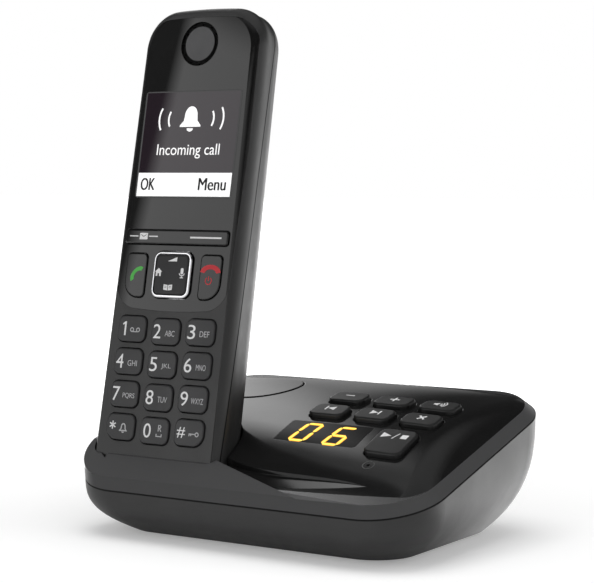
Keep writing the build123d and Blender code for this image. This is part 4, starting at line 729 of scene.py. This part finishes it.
# ---- base
@dataclass
class BaseUnit:
    """The base: its deck, keys, display and sockets.

    Attributes:
        deck_radius: front-to-back arc of the deck.
        apex: where the deck is highest, as y and z.
        crown_radius: side-to-side crown of the deck.
        key_proud: how far a key stands over the deck.
        ink: thickness of printed signs.
        keys_at: middle of the six small keys.
        film: thickness of what is laid on the deck.
        digit_slant: a digit's shift to the right per height.
        stroke: width of its strokes, stroke_gap half the gap between them.
        point: length of a stroke's pointed end, in half widths.
    """

    deck_radius: float = 138.0
    apex: Point = (36.0, 41.6)
    crown_radius: float = 1160.0
    key_proud: float = 1.5
    ink: float = 0.05
    key_pitch: Point = (15.7, 11.4)
    keys_at: Point = (23.85, 4.6)
    play_at: Point = (37.9, -15.7)
    window_at: Point = (13.4, -13.4)
    microphone_at: Point = (36.2, -25.8)
    film: float = 0.04
    digit_centres: tuple[Point, Point] = ((-5.9, -0.35), (5.9, -0.75))
    digit_size: Point = (6.1, 11.2)
    digit_slant: float = 0.13
    stroke: float = 1.1
    stroke_gap: float = 0.14
    point: float = 0.9
    socket_x: Point = (10.5, 27.0)
    socket_z: float = 11.0
    socket_face_y: float = 33.8
    spring_pitch: float = 1.02

    def height(self, x: np.ndarray | float, y: np.ndarray | float) -> np.ndarray | float:
        """Height of the deck: the front-to-back arc plus the side-to-side crown's fall."""
        arc_height = self.apex[1] - self.deck_radius + np.sqrt(self.deck_radius**2 - (y - self.apex[0]) ** 2)
        return arc_height - self.crown_radius + np.sqrt(self.crown_radius**2 - x**2)

    def bench(self, x: float, y: float) -> Bench:
        """Working plane that touches the deck at x, y."""
        slope_y = (self.apex[0] - y) / math.sqrt(self.deck_radius**2 - (y - self.apex[0]) ** 2)
        slope_x = -x / math.sqrt(self.crown_radius**2 - x**2)
        return Bench((x, y, float(self.height(x, y))), (1, 0, slope_x), (-slope_x * slope_y, 1, slope_y))

    def on_deck(self, drawing: Drawing, site: Point, lift: float) -> Solid:
        """Lay a film on the deck: put on the plane that touches it, then each point's z follows the deck."""
        solid = Solid.sheet(drawing, self.film)
        placed = self.bench(*site).put(solid)
        flat = self.bench(*site).put(Solid(solid.points * np.array([1.0, 1.0, 0.0]), []))
        placed.points[:, 2] += self.height(flat.points[:, 0], flat.points[:, 1]) - flat.points[:, 2] + lift
        return placed

    def key_sign(self, key: str, site: Point, drawing: Drawing) -> None:
        """Print a sign on the flat top of a deck key."""
        placed = self.bench(*site).put(Solid.sheet(drawing, self.ink), self.key_proud + self.ink / 4)
        piece(f"{key}_sign", placed, Look.WHITE_INK, key)

    def segment(self, centre: Point, middle: Point, width: float) -> Drawing:
        """One stroke, a slanted bar with pointed ends; its middle goes from -1 to 1 across and up."""
        side, end = (size / 2 - self.stroke / 2 for size in self.digit_size)
        level = middle[0] == 0
        reach = (side if level else end / 2) - self.stroke_gap
        half = width / 2
        tip = reach - half * self.point
        shape = np.array([(-reach, 0), (-tip, half), (tip, half), (reach, 0), (tip, -half), (-tip, -half)])
        shape = (shape if level else shape[:, ::-1]) + np.array(middle) * (side, end)
        shape[:, 0] += self.digit_slant * shape[:, 1]
        return Drawing([[shape + np.array(centre)]])

    def digits(self) -> None:
        """Light the two digits behind the window, 0 and 6, each stroke a bright core in a dimmer halo."""
        top, middle, bottom = (0, 1), (0, 0), (0, -1)
        upper_left, upper_right, lower_left, lower_right = (-1, 0.5), (1, 0.5), (-1, -0.5), (1, -0.5)
        lit_strokes = (
            (top, bottom, upper_left, upper_right, lower_left, lower_right),
            (top, middle, bottom, upper_left, lower_left, lower_right),
        )
        for label, share, lift, look in (("halo", 1.25, 0.02, Look.AMBER), ("core", 0.62, 0.05, Look.YELLOW)):
            lit = Drawing()
            for centre, strokes in zip(self.digit_centres, lit_strokes):
                for place in strokes:
                    lit += self.segment(centre, place, share * self.stroke)
            piece(f"lit_digits_{label}", self.on_deck(lit, self.window_at, lift), look, "base")

    def wire(self, x: float, start: float, length: float, rise: np.ndarray, radius: float) -> Solid:
        """Wire that starts inside a socket's face and runs in, at some rises over the socket's middle."""
        run = np.linspace(0, 1, len(rise))
        y = self.socket_face_y - start - length * run
        return Solid.sweep(np.column_stack([np.full_like(run, x), y, self.socket_z + rise]), radius)

    def sockets(self) -> None:
        """Four gold springs that bend down in the line socket, and two pins in the power socket."""
        springs, pins = Solid(), Solid()
        bend = 2.9 - 2.6 * np.sin(np.pi * np.clip(np.linspace(0, 1.1, 14), 0, 1)) ** 2
        for offset in (-1.5, -0.5, 0.5, 1.5):
            springs.add(self.wire(self.socket_x[0] + offset * self.spring_pitch, 3.0, 7.0, bend, 0.2))
        for offset in (-1.6, 1.6):
            pins.add(self.wire(self.socket_x[1] + offset, 3.5, 8.0, np.zeros(6), 0.45))
        for name, solid in (("line_socket_springs", springs), ("power_socket_pins", pins)):
            piece(name, solid, Look.CONTACT, "base", smooth=True)

    def build(self) -> None:
        """Print the keys' signs, light the digits, mark the microphone and fill the sockets."""
        signs = (Sign.SKIP_BACK, Sign.SKIP_FORWARD, Sign.CROSS, Sign.MINUS, Sign.PLUS, Sign.SPEAKER)
        for index, (key, drawing) in enumerate(zip(DECK_KEYS.split(), signs)):
            row, column = divmod(index, 3)
            x = self.keys_at[0] + (column - 1) * self.key_pitch[0]
            y = self.keys_at[1] + (row - 0.5) * self.key_pitch[1]
            self.key_sign(key, (x, y), drawing.moved(v=0.6))
        self.key_sign("play_stop_key", self.play_at, Sign.PLAY_STOP.moved(v=2.8))
        self.digits()
        mark = self.on_deck(ring((0, 0), 1.9, 1.55), self.microphone_at, 0.02)
        piece("microphone_mark", mark, Look.MARK_INK, "base")
        self.sockets()


# ---- handset
@dataclass
class Handset:
    """The handset: key legends, call signs and screen content, on the plane of its face.

    Attributes:
        lean: degrees by which the face leans back.
        key5_at: centre of the middle number key, the middle of the face's plane.
        smile: rise of the outer columns.
        key_proud: how far a number key stands over the face.
        ink: thickness of printed legends.
        film: thickness of what the screen shows.
        bar_high: upper end of the bar with the soft keys' labels.
    """

    lean: float = 11.3
    key5_at: Place = (-34.1, -28.9, 51.2)
    pitch: Point = (12.85, 10.02)
    smile: float = 0.37
    key_proud: float = 0.7
    ink: float = 0.05
    film: float = 0.02
    digit_size: Point = (2.75, 4.3)
    letters_height: float = 1.75
    screen_half: float = 17.6
    screen_low: float = 51.6
    bar_high: float = 58.9
    screen_high: float = 84.1

    def stamp(self, name: str, solid: Solid, look: Look, body: str, proud: float) -> None:
        """Print a gathered legend on the face plane or on a key that stands proud of it."""
        angle = math.radians(self.lean)
        face = Bench(self.key5_at, (1, 0, 0), (0, math.sin(angle), math.cos(angle)))
        piece(name, face.put(solid, proud + self.ink / 4), look, body)

    def number_keys(self) -> None:
        """Digits left of each key's middle, and their letters or signs right of it."""
        rows = (("star", "0", "hash"), ("7", "8", "9"), ("4", "5", "6"), ("1", "2", "3"))
        letters = dict(zip("23456789", ("ABC", "DEF", "GHI", "JKL", "MNO", "PQRS", "TUV", "WXYZ")))
        drawn = {"star": Sign.STAR.moved(-2.9, 0.4), "1": Sign.ONE.moved(-2.6, 0.0)}
        signs = {
            "1": Sign.VOICEMAIL.moved(1.4, -0.3), "star": Sign.OPEN_BELL.moved(1.2, -0.2, size=3.0),
            "0": Sign.RECALL_SPACE.moved(2.0, 0.0), "hash": Sign.LOCK_KEY.moved(1.9, -0.3),
        }
        for row, names in enumerate(rows):
            for column, name in enumerate(names):
                u = (column - 1) * self.pitch[0]
                v = (row - 2) * self.pitch[1] + abs(column - 1) * self.smile
                if name in drawn:
                    main_sign = Solid.sheet(drawn[name].moved(u, v), self.ink)
                elif name == "hash":
                    main_sign = Solid.lettering("#", (u - 2.75, v), 3.2, 3.0, self.ink)
                else:
                    width, height = self.digit_size
                    left = 2.5 if name == "0" else 3.0
                    main_sign = Solid.lettering(name, (u - left, v), height, width, self.ink)
                if name in letters:
                    size = self.letters_height, 0.95 * len(letters[name]) + 0.7
                    small = Solid.lettering(letters[name], (u + 1.8, v - 0.5), *size, self.ink)
                else:
                    small = Solid.sheet(signs[name].moved(u, v), self.ink)
                key = f"key_{name}"
                self.stamp(f"{key}_digit", main_sign, Look.WHITE_INK, key, self.key_proud)
                self.stamp(f"{key}_letters", small, Look.PALE_INK, key, self.key_proud)

    def marks(self) -> None:
        """Signs of the call keys, of the soft-key bar and of the navigation key."""
        green = Sign.RECEIVER.moved(-14.0, 27.9, 45, 0.80)
        red = Sign.RECEIVER.moved(14.1, 29.8, size=0.98) + Sign.POWER.moved(13.7, 26.0)
        soft = (
            box((-15.9, 39.0), 3.2, 0.34) + Sign.ENVELOPE.moved(-12.2, 39.0)
            + box((-8.5, 39.0), 3.4, 0.34) + box((11.2, 38.9), 11.6, 0.5)
        )
        round_key = (
            Sign.WEDGE.moved(0.2, 32.0) + Sign.HOUSE.moved(-4.6, 28.0)
            + Sign.MICROPHONE.moved(4.2, 27.9) + Sign.BOOK.moved(-0.5, 23.5)
        )
        for name, drawing, look, body, slot, proud in (
            ("talk_sign", green, Look.GREEN_INK, "talk_key", "faceplate_gloss", 0.5),
            ("end_sign", red, Look.RED_INK, "end_key", "faceplate_gloss", 0.5),
            ("soft_key_marks", soft, Look.WHITE_INK, "soft_key_bar", "faceplate_gloss", 0.8),
            ("navigation_signs", round_key, Look.WHITE_INK, "navigation_key", "key_grained", 1.3),
        ):
            self.stamp(name, Solid.sheet(drawing, self.ink), look, body, proud)

    def screen(self) -> None:
        """The screen's lit field and label bar, a bell with sound waves, a line of text and the labels."""
        for name, low, high, gap, look in (
            ("screen_field", self.bar_high, self.screen_high, 0.05, Look.SCREEN_FIELD),
            ("screen_label_bar", self.screen_low, self.bar_high, 0.0, Look.SCREEN_WHITE),
        ):
            pane = box((0, (low + high) / 2), 2 * self.screen_half, high - low - gap)
            self.stamp(name, Solid.sheet(pane, self.film), look, "handset", 0.0)
        content = Sign.BELL.moved(0.0, 76.0, size=7.8)
        for side, span in ((1, (-30, 30)), (-1, (150, 210))):
            for reach, radius in ((8.5, 4.6), (12.1, 6.8)):
                content += band((0.1 + side * (reach - radius), 75.7), radius, 0.6, *span)
        shown = Solid.sheet(content, self.film)
        shown.add(Solid.lettering("Incoming call", (0.2, 65.6), 4.5, 23.6, self.film))
        labels = Solid()
        for shift in (-0.11, 0.0, 0.11):
            labels.add(Solid.lettering("OK", (shift - 13.6, 55.4), 3.8, 5.3, self.film))
            labels.add(Solid.lettering("Menu", (shift + 10.7, 55.4), 3.8, 10.1, self.film))
        for name, solid, look in (
            ("screen_content", shown, Look.SCREEN_WHITE), ("screen_labels", labels, Look.DARK_INK),
        ):
            self.stamp(name, solid, look, "handset", self.film)

    def build(self) -> None:
        """Print every legend and light the screen."""
        self.number_keys()
        self.marks()
        self.screen()


# ---- studio
@dataclass(frozen=True)
class Panel:
    """A bright panel beside the object that only reflections see.

    Attributes:
        stops: bearings in degrees from +X, each with the panel's strength there.
        low: rise, from 0 level to 1 upright, up to which the panel shines in full.
        high: rise from which it is dark.
        lean: by how much of its part along slant a way counts as lower.
        skew: degrees by which a bearing shifts as the rise goes from 0 to 1.
        strongest: the most that a stop's strength can be.
    """

    stops: tuple[Point, ...]
    low: float
    high: float
    lean: float = 0.0
    skew: float = 0.0
    slant: Place = (-0.848, -0.53, 0.0)
    strongest: float = 4.0

    def glow(self, canvas: Canvas, way: Socket, turn: Socket, rise: Socket) -> Socket:
        """Brightness along a way: the stops at its turn, 0.5 along +X, times a fall with its rise."""
        skewed = canvas.math("ADD", turn, canvas.math("MULTIPLY", rise, self.skew / 360))
        ramp = canvas.node("ValToRGB", {"Fac": skewed})
        elements = ramp.color_ramp.elements
        for stop in elements:
            stop.color = (0.0, 0.0, 0.0, 1.0)
        for degrees, strength in self.stops:
            elements.new(degrees / 360 + 0.5).color = (*(strength / self.strongest,) * 3, 1.0)
        bright = canvas.math("MULTIPLY", ramp.outputs["Color"], self.strongest)
        lowered = canvas.math("MULTIPLY", canvas.vector("DOT_PRODUCT", way, self.slant), self.lean)
        fall = canvas.ramp(canvas.math("SUBTRACT", rise, lowered), self.low, self.high, 1.0, 0.0)
        return canvas.math("MULTIPLY", bright, fall)


@dataclass(frozen=True)
class Lamp:
    """Square soft lamp in metres that faces its aim: its power is its glow times pi times its area."""

    name: str
    at: Place
    aim: Place
    side: float
    glow: float

    def build(self) -> None:
        """Add the lamp, turned so that it shines along its own -Z to the aim."""
        data = bpy.data.lights.new(self.name, "AREA")
        data.shape = "RECTANGLE"
        data.size = data.size_y = self.side
        data.energy = self.glow * math.pi * self.side**2
        made = add_object(self.name, data)
        away = np.array(self.at) - np.array(self.aim)
        away /= np.linalg.norm(away)
        side = np.cross((0, 0, 1), away)
        side /= np.linalg.norm(side)
        turn = np.column_stack([side, np.cross(away, side), away, self.at])
        made.matrix_world = Matrix(np.vstack([turn, (0, 0, 0, 1)]).tolist())
        made.visible_glossy = False


@dataclass
class Studio:
    """Pale floor, soft lamps, a pale surround and the camera.

    Attributes:
        camera_at: the camera's place in metres.
        camera_turn: its turn about X, Y and Z in degrees.
        lens: focal length in millimetres on a sensor 36 mm wide.
        floor_half: half the floor's side in millimetres.
        floor_glow: what the floor gives off under the object, so that only its shade shows.
        white_from: distances in metres between which the floor turns quite white.
        floor_mirror: the floor's brightness in reflections, in front of the object and behind it.
        floor_bends: y in metres between which the one becomes the other.
        fill: brightness of the surround for light that isn't reflected.
        room: its brightness in reflections beside the panels, overhead that from above.
        overhead_from: rises between which the one becomes the other.
    """

    camera_at: Place = (0.3032, -0.4740, 0.1092)
    camera_turn: Place = (86.32, 0.0, 33.0)
    lens: float = 112.56
    floor_half: float = 6000.0
    floor_glow: float = 0.28
    white_from: Point = (0.12, 0.45)
    floor_mirror: Point = (0.05, 1.9)
    floor_bends: Point = (-0.02, 0.06)
    fill: float = 0.50
    room: float = 0.03
    overhead: float = 0.35
    overhead_from: Point = (0.70, 0.88)
    panels: tuple[Panel, Panel, Panel] = (
        Panel(
            ((106, 0.0), (116, 0.25), (124, 0.4), (130, 1.5), (135, 2.0), (142, 0.1), (179, 0.1)),
            0.24, 0.44, lean=2.5,
        ),
        Panel(
            ((-60, 0.0), (-20, 0.6), (50, 0.6), (64, 0.7), (80, 1.3), (94, 1.3), (106, 0.3), (112, 0.0)),
            0.20, 0.36,
        ),
        Panel(
            (
                (-179, 0.1), (-145.3, 0.1), (-135.97, 0.1), (-135.9, 1.8), (-104.3, 1.2), (-64.3, 0.6),
                (-44.3, 0.0),
            ),
            0.39, 0.43, skew=-11.66,
        ),
    )
    lamps: tuple[Lamp, ...] = (
        Lamp("key_softbox", (-0.35, -1.35, 0.75), (-0.02, 0, 0.07), 0.9, 1.4),
        Lamp("side_softbox", (1.4, 0.5, 0.9), (0, 0, 0.05), 1.0, 1.3),
        Lamp("top_softbox", (0.0, 0.0, 1.6), (0, 0.01, 0.05), 1.2, 2.2),
    )

    def camera(self) -> None:
        """Place and turn the camera."""
        data = bpy.data.cameras.new("camera")
        data.lens = self.lens
        data.sensor_width = 36.0
        made = add_object("camera", data)
        made.location = self.camera_at
        made.rotation_euler = tuple(math.radians(angle) for angle in self.camera_turn)
        bpy.context.scene.camera = made

    def floor(self) -> None:
        """Wide pale floor that shows white where nothing shades it, and keeps a soft shadow."""
        side = np.linspace(-self.floor_half, self.floor_half, 9)
        x, y = np.meshgrid(side, side)
        solid = Solid.grid(np.stack([x, y, np.zeros_like(x)], axis=-1))
        mesh = bpy.data.meshes.new("floor")
        mesh.from_pydata(solid.points * MM, [], solid.faces)
        material = bpy.data.materials.new("floor_pale")
        canvas = Canvas(material)
        path = canvas.node("LightPath")
        mottle = canvas.ramp(canvas.noise(6.0), *NOISE_SPAN, 0.80, 0.82)
        tone = canvas.node("CombineColor", {0: mottle, 1: mottle, 2: mottle})
        diffuse = canvas.node("BsdfDiffuse", {"Color": tone.outputs[0]})
        lift = canvas.ramp(canvas.vector("LENGTH", canvas.place), *self.white_from, self.floor_glow, 1.0)
        seen = canvas.math("MULTIPLY", path.outputs["Is Camera Ray"], lift)
        depth = canvas.node("SeparateXYZ", {0: canvas.place}).outputs["Y"]
        mirrored = canvas.ramp(depth, *self.floor_bends, *self.floor_mirror)
        strength = canvas.blend(path.outputs["Is Glossy Ray"], seen, mirrored)
        glow = canvas.node("Emission", {"Color": (1, 1, 1, 1), "Strength": strength})
        total = canvas.node("AddShader", {0: diffuse.outputs[0], 1: glow.outputs[0]})
        canvas.node("OutputMaterial", {"Surface": total.outputs[0]})
        mesh.materials.append(material)
        made = add_object("floor", mesh)

    def surround(self) -> None:
        """White behind the object; in reflections the panels stand round it, with gaps between them."""
        world = bpy.data.worlds.new("surround")
        bpy.context.scene.world = world
        canvas = Canvas(world)
        way = canvas.coordinates["Generated"]
        parts = canvas.node("SeparateXYZ", {0: way}).outputs
        path = canvas.node("LightPath")
        bearing = canvas.math("ARCTAN2", parts["Y"], parts["X"])
        turn = canvas.math("ADD", canvas.math("MULTIPLY", bearing, 1 / math.tau), 0.5)
        mirrored = canvas.ramp(parts["Z"], *self.overhead_from, self.room, self.overhead)
        for panel in self.panels:
            mirrored = canvas.math("ADD", mirrored, panel.glow(canvas, way, turn, parts["Z"]))
        soft = canvas.blend(path.outputs["Is Glossy Ray"], self.fill, mirrored)
        clear = canvas.math("MAXIMUM", path.outputs["Is Camera Ray"], path.outputs["Is Transmission Ray"])
        strength = canvas.blend(clear, soft, 1.0)
        background = canvas.node("Background", {"Color": (1, 1, 1, 1), "Strength": strength})
        canvas.node("OutputWorld", {"Surface": background.outputs[0]})

    def build(self) -> None:
        """Set the view transform and build the whole studio."""
        bpy.context.scene.view_settings.view_transform = "Standard"
        self.camera()
        self.floor()
        self.surround()
        for lamp in self.lamps:
            lamp.build()


# ---- main
def dress(nodes: dict[str, bpy.types.Object]) -> None:
    """Give every node of the frame its finish."""
    for look, names in NODE_LOOKS.items():
        for name in names.split():
            mesh = nodes[name].data
            mesh.materials.clear()
            mesh.materials.append(look.material())
            LOG.info("%s: %s", name, look.value.name)


def main() -> None:
    """Load the frame, dress it, add the fine pieces and set the studio."""
    logging.basicConfig(level=logging.INFO, format="%(message)s")
    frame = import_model()
    dress(frame["nodes"])
    BaseUnit().build()
    Handset().build()
    Studio().build()


if __name__ == "__main__":
    main()
